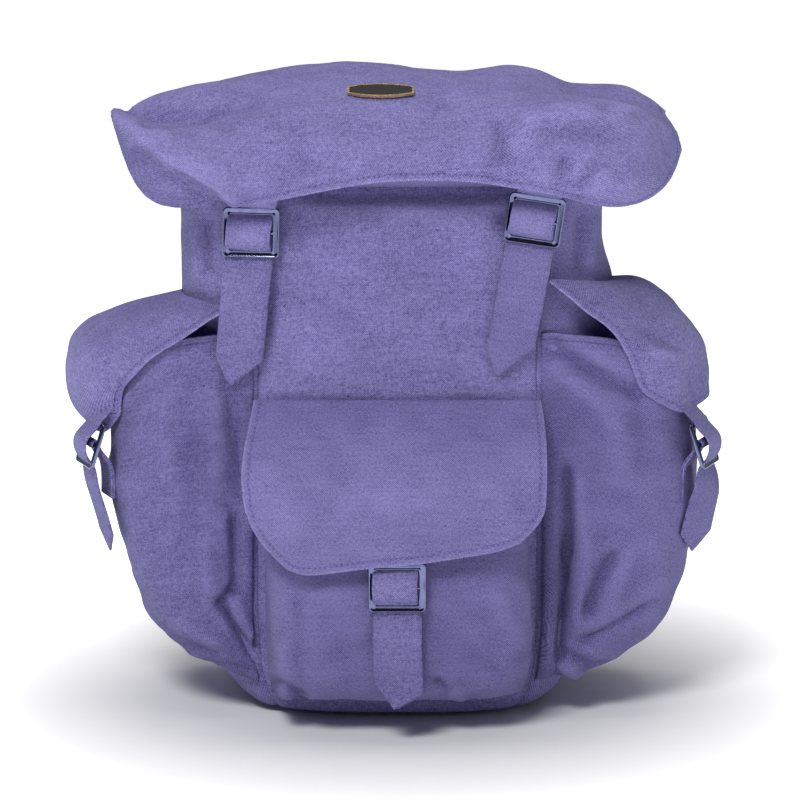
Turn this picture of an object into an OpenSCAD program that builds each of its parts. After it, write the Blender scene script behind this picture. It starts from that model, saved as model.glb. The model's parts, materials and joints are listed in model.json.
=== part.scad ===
// Canvas daypack: a soft sack with a lid, two side pockets, a front pocket, five strap-and-buckle
// closures and a carrying harness.
// +Z is up, the front faces -Y, and the origin is the middle of the flat underside of the base.

/* [Sack] */
// Width of the sack across its side panels
sack_w = 270; // [250:2:290]
// Depth of the sack from front panel to back panel
sack_d = 150; // [140:2:160]
// Height of the sewn walls, up to the throat collar
sack_h = 330; // [320:2:340]
// Thickness of a modelled cloth panel
cloth = 2.4; // [2:0.1:2.6]
// Height of the hemmed throat collar
collar_h = 20; // [16:1:24]
// Number of eyelets round the throat
eyelet_count = 10; // [8:2:12]

/* [Lid] */
// Width of the lid at its widest
lid_w = 344; // [330:2:350]
// Height of the crown of the lid above the ground
lid_top = 400; // [396:1:402]
// Height of the front edge of the lid at its straps
lid_edge = 324; // [322:1:326]

/* [Pockets] */
// How far the front pocket stands out from the front panel
front_pocket_d = 47; // [40:1:50]
// Height of the mouth of the front pocket
front_mouth = 168; // [160:1:172]
// How far a side pocket stands out from its side panel
side_pocket_d = 52; // [44:1:54]
// Height of the mouths of the side pockets
side_mouth = 232; // [226:1:236]

/* [Closures] */
// Width of a buckle frame
buckle_w = 34; // [33:0.5:36]
// Height of a buckle frame
buckle_h = 30; // [29:0.5:31]
// Thickness of a buckle frame
buckle_t = 2.4; // [2:0.1:2.8]
// Width of a closure strap
strap_w = 28; // [26:0.5:29]
// Thickness of a closure strap
strap_t = 2.2; // [1.8:0.1:2.4]

/* [Harness] */
// Width of a padded shoulder strap
pad_w = 46; // [40:1:50]
// Thickness of a padded shoulder strap
pad_t = 9; // [7:1:10]
// Width of the lower webbing
webbing_w = 28; // [25:1:30]

/* [Hidden] */

canvas = [0.36, 0.33, 0.60];
canvas_dark = [0.28, 0.26, 0.50];
steel = [0.72, 0.74, 0.78];
brass = [0.75, 0.60, 0.28];
enamel = [0.08, 0.08, 0.09];

gap = 0.4;           // clear space between neighbouring soft pieces
squareness = 3.4;    // exponent of the sack's rounded-rectangle section
base_t = 4;          // thickness of the base panel
front_seam = 219;    // bearing of the seam between left side panel and front panel
back_seam = 146;     // bearing of the seam between left side panel and back panel
wall_rings = [0, 0.03, 0.09, 0.2, 0.45, 0.75, 1];

// Share of the full half-width, and of the half-depth, by share of the wall's height.
width_shares = [[0, 0.86], [0.03, 0.92], [0.09, 0.965], [0.2, 0.985], [0.45, 0.99], [1, 1]];
depth_shares = [[0, 0.96], [0.03, 1], [0.09, 1.02], [0.2, 1.02], [0.45, 1], [1, 0.96]];

// ---------- helpers ----------

function mix(a, b, k) = a + (b - a) * k;
function steps(n) = [for (i = [0 : n]) i / n];
function unit(v) = v / norm(v);

// A closed solid between two grids of points. Columns run to the right and rows run up, as seen
// from outside.
module sheet(outer, inner) {
    rows = len(outer);
    cols = len(outer[0]);
    n = rows * cols;
    points = concat([for (r = outer) each r], [for (r = inner) each r]);
    function at(i, j) = i * cols + j;
    faces = concat(
        [for (i = [0 : rows - 2], j = [0 : cols - 2]) each [
            [at(i, j), at(i + 1, j), at(i + 1, j + 1)],
            [at(i, j), at(i + 1, j + 1), at(i, j + 1)],
            [n + at(i, j), n + at(i + 1, j + 1), n + at(i + 1, j)],
            [n + at(i, j), n + at(i, j + 1), n + at(i + 1, j + 1)]
        ]],
        [for (j = [0 : cols - 2]) each [
            [at(0, j), at(0, j + 1), n + at(0, j + 1), n + at(0, j)],
            [at(rows - 1, j + 1), at(rows - 1, j), n + at(rows - 1, j), n + at(rows - 1, j + 1)]
        ]],
        [for (i = [0 : rows - 2]) each [
            [at(i + 1, 0), at(i, 0), n + at(i, 0), n + at(i + 1, 0)],
            [at(i, cols - 1), at(i + 1, cols - 1), n + at(i + 1, cols - 1), n + at(i, cols - 1)]
        ]]
    );
    polyhedron(points = points, faces = faces);
}

// A flat strap of the given thickness along a path. across is the direction of its width.
module ribbon(path, widths, thick, across = [1, 0, 0]) {
    last = len(path) - 1;
    function along(i) = unit(path[min(i + 1, last)] - path[max(i - 1, 0)]);
    function face(i) = unit(cross(across, along(i))) * thick / 2;
    function row(i, side) = [
        for (k = [-1, 1]) path[i] + across * k * widths[i] / 2 + face(i) * side
    ];
    sheet([for (i = [0 : last]) row(i, 1)], [for (i = [0 : last]) row(i, -1)]);
}

module rounded_rect(w, h, r) {
    union() {
        square([w - 2 * r, h], center = true);
        square([w, h - 2 * r], center = true);
        for (x = [-1, 1], z = [-1, 1])
            translate([x * (w / 2 - r), z * (h / 2 - r)]) circle(r = r, $fn = 24);
    }
}

module mirrored(side) {
    if (side > 0) mirror([1, 0, 0]) children();
    else children();
}

// ---------- sack ----------

function half_w(z) = sack_w / 2 * lookup(z / sack_h, width_shares);
function half_d(z) = sack_d / 2 * lookup(z / sack_h, depth_shares);

// Distance from the axis of the sack to its outside, at a bearing and a height.
function reach(bearing, z) = 1 / pow(
    pow(abs(cos(bearing)) / half_w(z), squareness) + pow(abs(sin(bearing)) / half_d(z), squareness),
    1 / squareness
);
function sack_at(bearing, z, off = 0) = [
    (reach(bearing, z) + off) * cos(bearing), (reach(bearing, z) + off) * sin(bearing), z
];

// One wall panel between two seams.
module wall_panel(from, to, columns) {
    slit = 0.15; // half the sewn seam's open line, in degrees
    low = base_t + gap;
    function grid(off) = [
        for (k = wall_rings) [
            for (s = steps(columns))
                sack_at(mix(from + slit, to - slit, s), mix(low, sack_h - gap, k), off)
        ]
    ];
    color(canvas) sheet(grid(0), grid(-cloth));
}

module front_panel() { wall_panel(front_seam, 540 - front_seam, 16); }
module back_panel() { wall_panel(180 - back_seam, back_seam, 18); }
module left_side_panel() { wall_panel(back_seam, front_seam, 12); }
module right_side_panel() { mirrored(1) left_side_panel(); }

module sack_outline(z, off) {
    facets = 60;
    polygon([for (i = [0 : facets - 1]) let (p = sack_at(i * 360 / facets, z, off)) [p.x, p.y]]);
}

module base_panel() {
    color(canvas_dark) linear_extrude(height = base_t) sack_outline(0, -gap);
}

// ---------- throat ----------

eyelet_r = 3.2;
eyelet_flange = 6.2;
function eyelet_bearing(i) = 270 + (i + 0.5) * 360 / eyelet_count;

module at_eyelet(i) {
    b = eyelet_bearing(i);
    a = sack_at(b - 3, sack_h);
    c = sack_at(b + 3, sack_h);
    turn = atan2(c.y - a.y, c.x - a.x) - 90;
    translate(sack_at(b, sack_h + collar_h / 2)) rotate([0, 90, turn]) children();
}

module throat_collar() {
    color(canvas_dark) difference() {
        translate([0, 0, sack_h]) linear_extrude(height = collar_h) difference() {
            sack_outline(sack_h, 0);
            sack_outline(sack_h, -cloth);
        }
        for (i = [0 : eyelet_count - 1])
            at_eyelet(i) cylinder(r = eyelet_r + 0.9, h = 16, center = true, $fn = 32);
    }
}

module throat_eyelets() {
    color(brass)
        for (i = [0 : eyelet_count - 1]) at_eyelet(i) rotate_extrude($fn = 48) polygon([
            [eyelet_r, -3.5], [eyelet_r + 0.6, -3.5], [eyelet_r + 0.6, 0.5],
            [eyelet_flange, 0.5], [eyelet_flange, 1], [eyelet_flange - 0.6, 1.4], [eyelet_r, 1.4]
        ]);
}

// ---------- lid ----------

// Depth and height of the middle of the lid, from its back seam to its front edge.
lid_profile = [
    [78, 356], [73, 374], [56, 390], [28, lid_top], [-8, lid_top], [-44, 392],
    [-70, 379], [-86, 363], [-92, 345], [-92, lid_edge]
];
lid_skew = 3.5; // the front edge sits higher on the right by this much
lid_edge_rows = len(lid_profile) - 1;

// Half-width of the lid at a row: straight sides, and round corners at the front.
function lid_half(i) = lid_w / 2 * lookup(i, [
    [0, 0.78], [1, 0.84], [2, 0.92], [3, 0.97], [4, 1], [7, 1], [8, 0.96], [9, 0.8]
]);
// The sides droop, the front edge arches up between the straps, and the ends sweep back.
function lid_point(i, s, off) =
    let (
        p = lid_profile[i],
        q = lid_profile[min(i + 1, lid_edge_rows)] - lid_profile[max(i - 1, 0)],
        n = [q[1], -q[0]] / norm(q),
        front = i / lid_edge_rows,
        droop = 16 * pow(abs(s), 2.5) * (1 - 0.85 * front),
        arch = 12 * max(0, 1 - pow(s / 0.45, 2)) * pow(front, 8),
        rise = arch - droop + lid_skew * s * front,
        sweep = 22 * pow(abs(s), 3) * pow(front, 3)
    )
    [s * lid_half(i), p[0] + sweep + n[0] * off, p[1] + rise + n[1] * off];

module lid() {
    // Rows run from the front edge up, so that they rise as seen from outside.
    function grid(off) = [
        for (i = [lid_edge_rows : -1 : 0]) [for (s = steps(16)) lid_point(i, 2 * s - 1, off)]
    ];
    color(canvas) sheet(grid(0), grid(-cloth));
}

// ---------- badge ----------

badge_w = 40;
badge_h = 15;
badge_row = 5; // the badge lies on the lid between this row of its profile and the next
badge_from = lid_profile[badge_row];
badge_to = lid_profile[badge_row + 1];
badge_tilt = atan2(badge_from[1] - badge_to[1], badge_from[0] - badge_to[0]);
badge_middle = mix(badge_from, badge_to, 0.5);
badge_lift = 0.7; // above the cloth

module badge_shape(inset) {
    w = badge_w / 2 - inset;
    h = badge_h / 2 - inset;
    bow = 0.5; // height of the ends against the middle
    function rise(s) = h * (1 - (1 - bow) * s * s);
    polygon(concat(
        [for (i = [-8 : 8]) [w * i / 8, -rise(i / 8)]],
        [for (i = [8 : -1 : -8]) [w * i / 8, rise(i / 8)]]
    ));
}

module at_badge() {
    translate([-10, badge_middle[0], badge_middle[1]]) rotate([badge_tilt, 0, 0])
        translate([0, 0, badge_lift]) children();
}

module badge_rim() {
    color(brass) at_badge() linear_extrude(height = 1.6) difference() {
        badge_shape(0);
        badge_shape(1.1);
    }
}

module badge_face() {
    color(enamel) at_badge() linear_extrude(height = 1.1) badge_shape(1.15);
}

// ---------- closures ----------
// A closure is drawn about the bar of its buckle: X along the bar, Z up the strap, -Y outwards.

bar_r = 1.4;
frame_bar = 4.2;
loop_clear = 0.25;
tab_t = 2;
loop_r = bar_r + loop_clear + tab_t;

module buckle() {
    color(steel) {
        rotate([90, 0, 0]) linear_extrude(height = buckle_t, center = true) difference() {
            rounded_rect(buckle_w, buckle_h, 2.6);
            rounded_rect(buckle_w - 2 * frame_bar, buckle_h - 2 * frame_bar, 1.2);
        }
        rotate([0, 90, 0])
            cylinder(r = bar_r, h = buckle_w - 2 * frame_bar + 2, center = true, $fn = 32);
    }
}

// A folded tab: a loop round the buckle's bar and a leg that runs down to where it is sewn.
module tab(leg, across = [1, 0, 0]) {
    w = buckle_w - 2 * frame_bar - 3;
    color(canvas) union() {
        rotate([0, 90, 0]) difference() {
            cylinder(r = loop_r, h = w, center = true, $fn = 40);
            cylinder(r = bar_r + loop_clear, h = w + 2, center = true, $fn = 40);
        }
        ribbon(leg, [for (p = leg) w], tab_t, across);
    }
}

// A strap with a pointed end, from its path's pivot down to its tip.
module pointed_strap(path) {
    last = len(path) - 1;
    widths = [for (i = [0 : last]) i == last ? 2 : strap_w];
    color(canvas) ribbon(path, widths, strap_t);
}

// ---------- lid closures ----------

lid_bars = [[-87.5, -78.5, 303.5], [82, -78.5, 311]]; // middles of the left and right bars
lid_buckle_turns = [1.5, 8.5];  // how far each buckle leans sideways, in degrees
lid_strap_turns = [6, 10];      // how far each strap leans sideways, in degrees
lid_strap_tops = [18.5, 12.5];  // height of each strap's top above its bar
lid_strap_lengths = [93, 98];   // from the bar down to the tip
lid_tab_leg = [[0, 1.6, -2.8], [0, 4.6, -9], [0, 5.4, -18], [0, 5.4, -38]];

module at_lid_bar(k, turn) { translate(lid_bars[k]) rotate([0, turn, 0]) children(); }

module lid_strap(k) {
    top = lid_strap_tops[k];
    at_lid_bar(k, lid_strap_turns[k]) pointed_strap([
        [0, -13.7, top], [0, -10.6, top - 4.5], [0, -6.6, 4.5], [0, -5.9, 0], [0, -5.6, -8],
        [0, -5, -20], [0, -4, -42], [0, 0, -58], [0, 2.4, -74], [0, 3, -lid_strap_lengths[k]]
    ]);
}

module left_lid_strap() { lid_strap(0); }
module right_lid_strap() { lid_strap(1); }
module left_lid_buckle() { at_lid_bar(0, lid_buckle_turns[0]) buckle(); }
module right_lid_buckle() { at_lid_bar(1, lid_buckle_turns[1]) buckle(); }
module left_lid_tab() { at_lid_bar(0, lid_buckle_turns[0]) tab(lid_tab_leg); }
module right_lid_tab() { at_lid_bar(1, lid_buckle_turns[1]) tab(lid_tab_leg); }

// ---------- pouches ----------
// A pouch is the sack's own surface pushed outwards, so it closes on the sack along its seams.

pouch_rows = [0, 0.03, 0.08, 0.16, 0.3, 0.5, 0.75, 1];

function belly(s) = pow(max(0, 1 - pow(abs(2 * s - 1), 12)), 0.5);

// shares gives the share of the full depth by share of the pouch's height.
module pouch(from, to, low, high, depth, out, shares, columns) {
    middle_reach = reach((from + to) / 2, (low + high) / 2);
    function point(k, s, inset) =
        let (
            slack = inset / middle_reach * 180 / PI,
            b = mix(from + slack, to - slack, s),
            z = mix(low + inset, high, k),
            push = gap + cloth - inset + (depth - cloth - gap) * belly(s) * lookup(k, shares)
        )
        sack_at(b, z, gap) + out * push;
    function grid(inset) = [
        for (k = pouch_rows) [for (s = steps(columns)) point(k, 0.5 - 0.5 * cos(180 * s), inset)]
    ];
    color(canvas) sheet(grid(0), grid(cloth));
}

front_shares = [[0, 0], [0.03, 0.56], [0.08, 0.8], [0.16, 0.93], [0.5, 1], [1, 0.64]];
side_shares = [[0, 0], [0.03, 0.22], [0.08, 0.42], [0.16, 0.64], [0.3, 0.84], [0.6, 1], [1, 0.88]];
side_out = unit([-1, -0.2, 0]);                // the way that the left pocket stands out
side_front = [-side_out.y, side_out.x, 0];     // along the left side, towards the front

module front_pocket() {
    pouch(221.5, 318.5, 14, front_mouth, front_pocket_d, [0, -1, 0], front_shares, 18);
}
module left_pocket() {
    pouch(152, front_seam, 8, side_mouth, side_pocket_d, side_out, side_shares, 16);
}
module right_pocket() { mirrored(1) left_pocket(); }

// ---------- front pocket flap and closure ----------

// Depth and height of the middle of the flap, from its hinge to its lower edge.
front_flap_profile = [
    [-80, 203], [-89, 195], [-103, 182], [-117, 167], [-126, 150], [-130, 132], [-130.5, 114]
];
front_flap_half = [86, 88, 89, 89, 88, 84, 68];

module front_pocket_flap() {
    last = len(front_flap_profile) - 1;
    function point(i, s, off) =
        let (
            p = front_flap_profile[i],
            q = front_flap_profile[min(i + 1, last)] - front_flap_profile[max(i - 1, 0)],
            n = [q[1], -q[0]] / norm(q),
            // The ends stay nearer to the sack, which is round there.
            back = 10 * pow(abs(s), 3) * (i / last)
        )
        [s * front_flap_half[i], p[0] + back + n[0] * off, p[1] + n[1] * off];
    function grid(off) = [
        for (i = [last : -1 : 0]) [for (s = steps(12)) point(i, 2 * s - 1, off)]
    ];
    color(canvas) sheet(grid(0), grid(-cloth));
}

front_bar = [0, -129.5, 98];

module at_front_bar() { translate(front_bar) children(); }

module front_pocket_buckle() { at_front_bar() buckle(); }
module front_pocket_tab() {
    at_front_bar() tab([[0, 1.6, -2.8], [0, 4.4, -9], [0, 5.2, -18], [0, 5.2, -36]]);
}
module front_pocket_strap() {
    at_front_bar() pointed_strap([
        [0, -3.4, 14], [0, -5, 9], [0, -6.2, 4], [0, -6.1, -4], [0, -4.8, -16], [0, -3.6, -38],
        [1, 0.6, -52], [1, 1.6, -75]
    ]);
}

// ---------- side pocket flaps and closures ----------

side_flap_z = 255;
// The sack's furthest reach on this side, which the straight hinge line clears.
side_hinge_out = max([for (b = [150 : 5 : 215]) sack_at(b, sack_h) * side_out]) + 0.8;
// Distance out from the hinge line and height above it, at the middle of the flap.
side_flap_profile = [
    [0.8, 0], [14, 0], [30, -3], [46, -8], [60, -17], [69, -31], [71, -45], [67, -56], [61, -65]
];
side_flap_half = [50, 52, 54, 54, 52, 48, 43, 37, 30];
side_flap_shift = 15; // the tip lies this far forward of the hinge's middle

module left_pocket_flap() {
    last = len(side_flap_profile) - 1;
    function point(i, s, off) =
        let (
            p = side_flap_profile[i],
            q = side_flap_profile[min(i + 1, last)] - side_flap_profile[max(i - 1, 0)],
            n = [-q[1], q[0]] / norm(q),
            // The front and back edges hang lower than the middle.
            hang = (s > 0 ? -26 : -14) * pow(abs(s), 3) * sin(180 * i / last),
            forward = s * side_flap_half[i] + side_flap_shift * i / last
        )
        side_out * (side_hinge_out + p[0] + n[0] * off) + side_front * forward
            + [0, 0, side_flap_z + p[1] + hang + n[1] * off];
    function grid(off) = [
        for (i = [last : -1 : 0]) [for (s = steps(12)) point(i, 2 * s - 1, off)]
    ];
    color(canvas) sheet(grid(0), grid(-cloth));
}
module right_pocket_flap() { mirrored(1) left_pocket_flap(); }

side_bar = side_out * (side_hinge_out + 59) + side_front * side_flap_shift + [0, 0, 171];
side_yaw = -67;  // turns the closure's outward side to the left
side_tilt = 18;  // leans the top of the buckle towards the pocket

module at_side_bar() { translate(side_bar) rotate([0, 0, side_yaw]) children(); }

module left_pocket_buckle() { at_side_bar() rotate([-side_tilt, 0, 0]) buckle(); }
module left_pocket_tab() {
    at_side_bar() tab([[0, 2, -2.6], [0, 5.5, -7.5], [0, 8.6, -12], [0, 10.3, -19], [0, 10.3, -34]]);
}
module left_pocket_strap() {
    at_side_bar() pointed_strap([
        [0, -2.5, 16.4], [0, -4, 9], [0, -6.6, 2], [0, -8.4, -6], [0, -9, -14], [0, -7.6, -22],
        [0, -3, -36], [0, 2, -52], [0, 6, -68]
    ]);
}
module right_pocket_buckle() { mirrored(1) left_pocket_buckle(); }
module right_pocket_tab() { mirrored(1) left_pocket_tab(); }
module right_pocket_strap() { mirrored(1) left_pocket_strap(); }

// ---------- harness ----------

yoke_y = 72.7;  // just behind the back panel where the yoke is sewn
webbing_t = 2.2;

module yoke_patch() {
    color(canvas_dark) translate([0, yoke_y + 1.6, 312]) rotate([90, 0, 0])
        linear_extrude(height = 1.6) rounded_rect(150, 36, 5);
}

// A strip with both ends sewn at the yoke, which hangs as a teardrop.
module haul_loop() {
    color(canvas_dark) ribbon(
        [
            [0, 75.8, 325], [0, 76.2, 310], [0, 77.5, 290], [0, 81, 277], [0, 87, 271],
            [0, 93, 276], [0, 95, 288], [0, 91, 303], [0, 84, 316], [0, 79.2, 325]
        ],
        [for (i = [0 : 9]) 24], webbing_t
    );
}

// Half the harness, drawn on the left. Each shoulder strap swings about the line through the
// two ends where it is sewn to the sack.
swing_top = [-50, 90, 302];
swing_low = [-107, 84, 58];
swing_axis = unit(swing_low - swing_top);
swing_across = unit(cross([0, 1, 0], -swing_axis));
end_gap = 0.8;

left_adjuster_at = [-89.5, 112, 152];

module swing_ribbon(path, widths, thick) { ribbon(path, widths, thick, swing_across); }

module left_strap_root() {
    color(canvas_dark) swing_ribbon(
        [
            [-45.5, yoke_y + 3.2, 326], [-46.5, yoke_y + 3.6, 320], [-48.8, 87.5, 309],
            swing_top - swing_axis * 4, swing_top - swing_axis * end_gap
        ],
        [34, 34, 34, 32, 32], webbing_t
    );
}
module left_shoulder_pad() {
    color(canvas) swing_ribbon(
        [
            swing_top + swing_axis * end_gap, swing_top + swing_axis * 6,
            [-54, 101, 284], [-60, 111, 262], [-67, 117, 234], [-75, 118.5, 206],
            [-82, 116.5, 184], [-85, 115, 174]
        ],
        [32, 34, 42, pad_w, pad_w, pad_w, pad_w * 0.86, 32], pad_t
    );
}
// The webbing's slider and the short tab that holds it to the end of the pad.
module at_adjuster() { translate(left_adjuster_at) rotate([8, 12, 180]) children(); }
module left_adjuster() { at_adjuster() buckle(); }
module left_pad_tab() {
    at_adjuster() tab([[0, 1.6, 2.8], [0, 3.2, 8], [0, 2.8, 13], [0, 2.6, 18]]);
}
module left_lower_webbing() {
    color(canvas_dark) swing_ribbon(
        [
            [-86.5, 118.6, 164], [-90, 119.2, 151], [-93, 116, 138], [-98, 104, 112],
            [-103, 92, 84], swing_low - swing_axis * 8, swing_low - swing_axis * end_gap
        ],
        [for (i = [0 : 6]) webbing_w], 1.8
    );
}
module left_strap_anchor() {
    color(canvas_dark) swing_ribbon(
        [
            swing_low + swing_axis * end_gap, swing_low + swing_axis * 4,
            [-108, 78.5, 46], [-108.5, 73, 34]
        ],
        [webbing_w, webbing_w, 26, 24], webbing_t
    );
}

module right_strap_root() { mirrored(1) left_strap_root(); }
module right_shoulder_pad() { mirrored(1) left_shoulder_pad(); }
module right_pad_tab() { mirrored(1) left_pad_tab(); }
module right_adjuster() { mirrored(1) left_adjuster(); }
module right_lower_webbing() { mirrored(1) left_lower_webbing(); }
module right_strap_anchor() { mirrored(1) left_strap_anchor(); }

// ---------- drawing ----------

front_panel();
back_panel();
left_side_panel();
right_side_panel();
base_panel();
throat_collar();
throat_eyelets();
lid();
badge_rim();
badge_face();
left_lid_strap();
right_lid_strap();
left_lid_buckle();
right_lid_buckle();
left_lid_tab();
right_lid_tab();
front_pocket();
front_pocket_flap();
front_pocket_strap();
front_pocket_buckle();
front_pocket_tab();
left_pocket();
left_pocket_flap();
left_pocket_strap();
left_pocket_buckle();
left_pocket_tab();
right_pocket();
right_pocket_flap();
right_pocket_strap();
right_pocket_buckle();
right_pocket_tab();
yoke_patch();
haul_loop();
left_strap_root();
right_strap_root();
left_shoulder_pad();
right_shoulder_pad();
left_pad_tab();
right_pad_tab();
left_adjuster();
right_adjuster();
left_lower_webbing();
right_lower_webbing();
left_strap_anchor();
right_strap_anchor();
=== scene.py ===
"""Looks of the canvas daypack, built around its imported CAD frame.

Every soft part is a grid of points: rows run up and columns run to the right, as seen from outside.
Shapes are worked out in millimetres in the frame's axes and turned into metres when a mesh is made.
"""
import json
import math

import bmesh
import bpy
import numpy as np
from mathutils import Matrix, Vector
from mathutils.bvhtree import BVHTree


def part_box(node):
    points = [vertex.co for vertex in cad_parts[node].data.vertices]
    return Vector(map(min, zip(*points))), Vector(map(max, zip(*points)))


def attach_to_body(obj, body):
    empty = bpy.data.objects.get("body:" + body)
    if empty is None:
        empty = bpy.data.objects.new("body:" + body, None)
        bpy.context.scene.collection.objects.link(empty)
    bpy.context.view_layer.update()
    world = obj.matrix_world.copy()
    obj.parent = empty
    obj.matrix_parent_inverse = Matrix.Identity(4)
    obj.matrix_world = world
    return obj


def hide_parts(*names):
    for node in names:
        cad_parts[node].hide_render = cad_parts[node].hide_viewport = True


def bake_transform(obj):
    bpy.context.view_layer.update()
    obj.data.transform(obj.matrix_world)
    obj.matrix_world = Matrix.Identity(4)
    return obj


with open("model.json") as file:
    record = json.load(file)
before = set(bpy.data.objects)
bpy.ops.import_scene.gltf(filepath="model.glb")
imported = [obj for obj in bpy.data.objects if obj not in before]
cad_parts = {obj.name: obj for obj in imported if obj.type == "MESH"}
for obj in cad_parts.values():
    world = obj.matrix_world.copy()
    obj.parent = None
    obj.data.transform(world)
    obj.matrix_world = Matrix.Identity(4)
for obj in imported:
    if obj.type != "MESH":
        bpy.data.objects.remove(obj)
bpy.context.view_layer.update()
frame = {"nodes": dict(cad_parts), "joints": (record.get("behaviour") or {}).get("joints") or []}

MM = 0.001
CANVAS_T = 1.3  # thickness of the canvas
YARN = 1.35  # from one yarn of the canvas to the next but one
HEM = 3.6  # from a hemmed edge to its line of stitches
JOINTS = {j["name"]: j for j in frame["joints"]}


def box(node):
    """Lowest and highest corner of a CAD node, in millimetres."""
    return [np.array(corner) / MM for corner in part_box(node)]


def pivot(joint):
    return np.array(JOINTS[joint]["pos_m"]) / MM


# ---------- curves and grids ----------

def cubic(knots, at):
    """The matrix that turns values at the knots into a natural cubic spline's values at other places."""
    knots, at = np.asarray(knots, float), np.asarray(at, float)
    n, h = len(knots), np.diff(knots)
    a, b = np.eye(n), np.zeros((n, n))
    for i in range(1, n - 1):
        a[i, i - 1:i + 2] = h[i - 1], 2 * (h[i - 1] + h[i]), h[i]
        b[i, i - 1:i + 2] = 6 / h[i - 1], -6 / h[i - 1] - 6 / h[i], 6 / h[i]
    bend = np.linalg.solve(a, b)
    i = np.clip(np.searchsorted(knots, at, side="right") - 1, 0, n - 2)
    right = ((at - knots[i]) / h[i])[:, None]
    left = 1 - right
    return (
        left * np.eye(n)[i] + right * np.eye(n)[i + 1]
        + ((left ** 3 - left) * bend[i] + (right ** 3 - right) * bend[i + 1]) * (h[i] ** 2 / 6)[:, None]
    )


def lengths(points):
    """Distance along a line of points to each of them."""
    return np.concatenate([[0], np.cumsum(np.linalg.norm(np.diff(points, axis=0), axis=1))])


def at_lengths(points, where):
    """Points of a line at the given distances along it."""
    along = lengths(points)
    return np.stack([np.interp(where, along, points[:, k]) for k in range(3)], axis=-1)


def curve(points, n):
    """n evenly spaced points on a smooth curve through the given ones."""
    points = np.array(points, float)
    knots = lengths(points)
    fine = cubic(knots, np.linspace(0, knots[-1], 8 * n)) @ points
    return at_lengths(fine, np.linspace(0, lengths(fine)[-1], n))


def loft(rails, rows, cols):
    """A smooth grid through rails, each a list of points from left to right. The first is the lowest."""
    lines = np.array([curve(rail, cols) for rail in rails])
    gaps = np.linalg.norm(np.diff(lines, axis=0), axis=2).mean(axis=1)
    knots = np.concatenate([[0], np.cumsum(gaps)])
    across = cubic(knots, np.linspace(0, knots[-1], rows))
    return np.einsum("rk,kcx->rcx", across, lines)


def even(grid, rows, cols):
    """The same surface with its points evenly spaced along and up the cloth."""
    for swap, count in ((False, cols), (True, rows)):
        if swap:
            grid = grid.transpose(1, 0, 2)
        along = np.concatenate([[0], np.cumsum(np.linalg.norm(np.diff(grid, axis=1), axis=2).mean(axis=0))])
        where = np.linspace(0, along[-1], count)
        grid = np.stack([[np.interp(where, along, row[:, k]) for row in grid] for k in range(3)], axis=-1)
        if swap:
            grid = grid.transpose(1, 0, 2)
    return grid


def smooth(x):
    x = np.clip(x, 0, 1)
    return x * x * (3 - 2 * x)


def slopes(grid, wrap=False):
    """Directions to the right and up at each point of a grid, not unit length."""
    if wrap:
        right = np.roll(grid, -1, axis=1) - np.roll(grid, 1, axis=1)
    else:
        right = np.gradient(grid, axis=1)
    return right, np.gradient(grid, axis=0)


def normals(grid, wrap=False):
    right, up = slopes(grid, wrap)
    n = np.cross(right, up)
    return n / np.maximum(np.linalg.norm(n, axis=2, keepdims=True), 1e-9)


def weave_of(grid):
    """Place on the cloth in millimetres: across from its middle column, and up, level along its top row."""
    across = np.zeros(grid.shape[:2])
    across[:, 1:] = np.cumsum(np.linalg.norm(np.diff(grid, axis=1), axis=2), axis=1)
    middle = grid.shape[1] // 2
    across -= across[:, middle][:, None]
    up = np.zeros(grid.shape[:2])
    up[1:] = np.cumsum(np.linalg.norm(np.diff(grid, axis=0), axis=2), axis=0)
    return np.stack([across, up - up[-1] + up[-1, middle]], axis=2)


def hollow_of(grid):
    """How far in millimetres each point lies below the cloth some 8 mm round it."""
    steps = [max(1, round(8 / np.linalg.norm(np.diff(grid, axis=k), axis=2).mean())) for k in (0, 1)]
    around = np.zeros(grid.shape)
    for axis, step in enumerate(steps):
        step = min(step, (grid.shape[axis] - 1) // 2)
        where = np.arange(grid.shape[axis])
        before, after = np.abs(where - step), where + step
        after = np.where(after > where[-1], 2 * where[-1] - after, after)
        middle = (np.minimum(where, where[-1] - where) >= step)[:, None]
        middle = middle if axis == 0 else middle.T
        bend = (grid.take(before, axis) + grid.take(after, axis)) / 2 - grid
        around += bend * middle[..., None]
    return (around * normals(grid)).sum(axis=2) / 2


def crumple(weave, seed, wave, height, waves=20):
    """A soft random relief with features about a wave wide."""
    rng = np.random.default_rng(seed)
    turn, start = rng.uniform(0, 2 * np.pi, (2, waves))
    size = wave * rng.uniform(0.7, 2.0, waves)
    phase = weave[..., :1] * np.cos(turn) + weave[..., 1:] * np.sin(turn)
    return height * np.sin(phase * 2 * np.pi / size + start).sum(axis=-1) / math.sqrt(waves / 2)


AIM = np.array([1.6, 0, 188])  # the camera looks at this point
AWAY, TILT = 1600.0, math.radians(10)  # from this far off, and from this far above the horizon


def seen(points):
    """Place of points as the camera sees them, in millimetres across and up from the middle of its view."""
    x, y, z = np.moveaxis(points - AIM, -1, 0)
    depth = AWAY + y * math.cos(TILT) - z * math.sin(TILT)
    return np.stack([x, y * math.sin(TILT) + z * math.cos(TILT)], axis=-1) * (AWAY / depth)[..., None]


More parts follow.
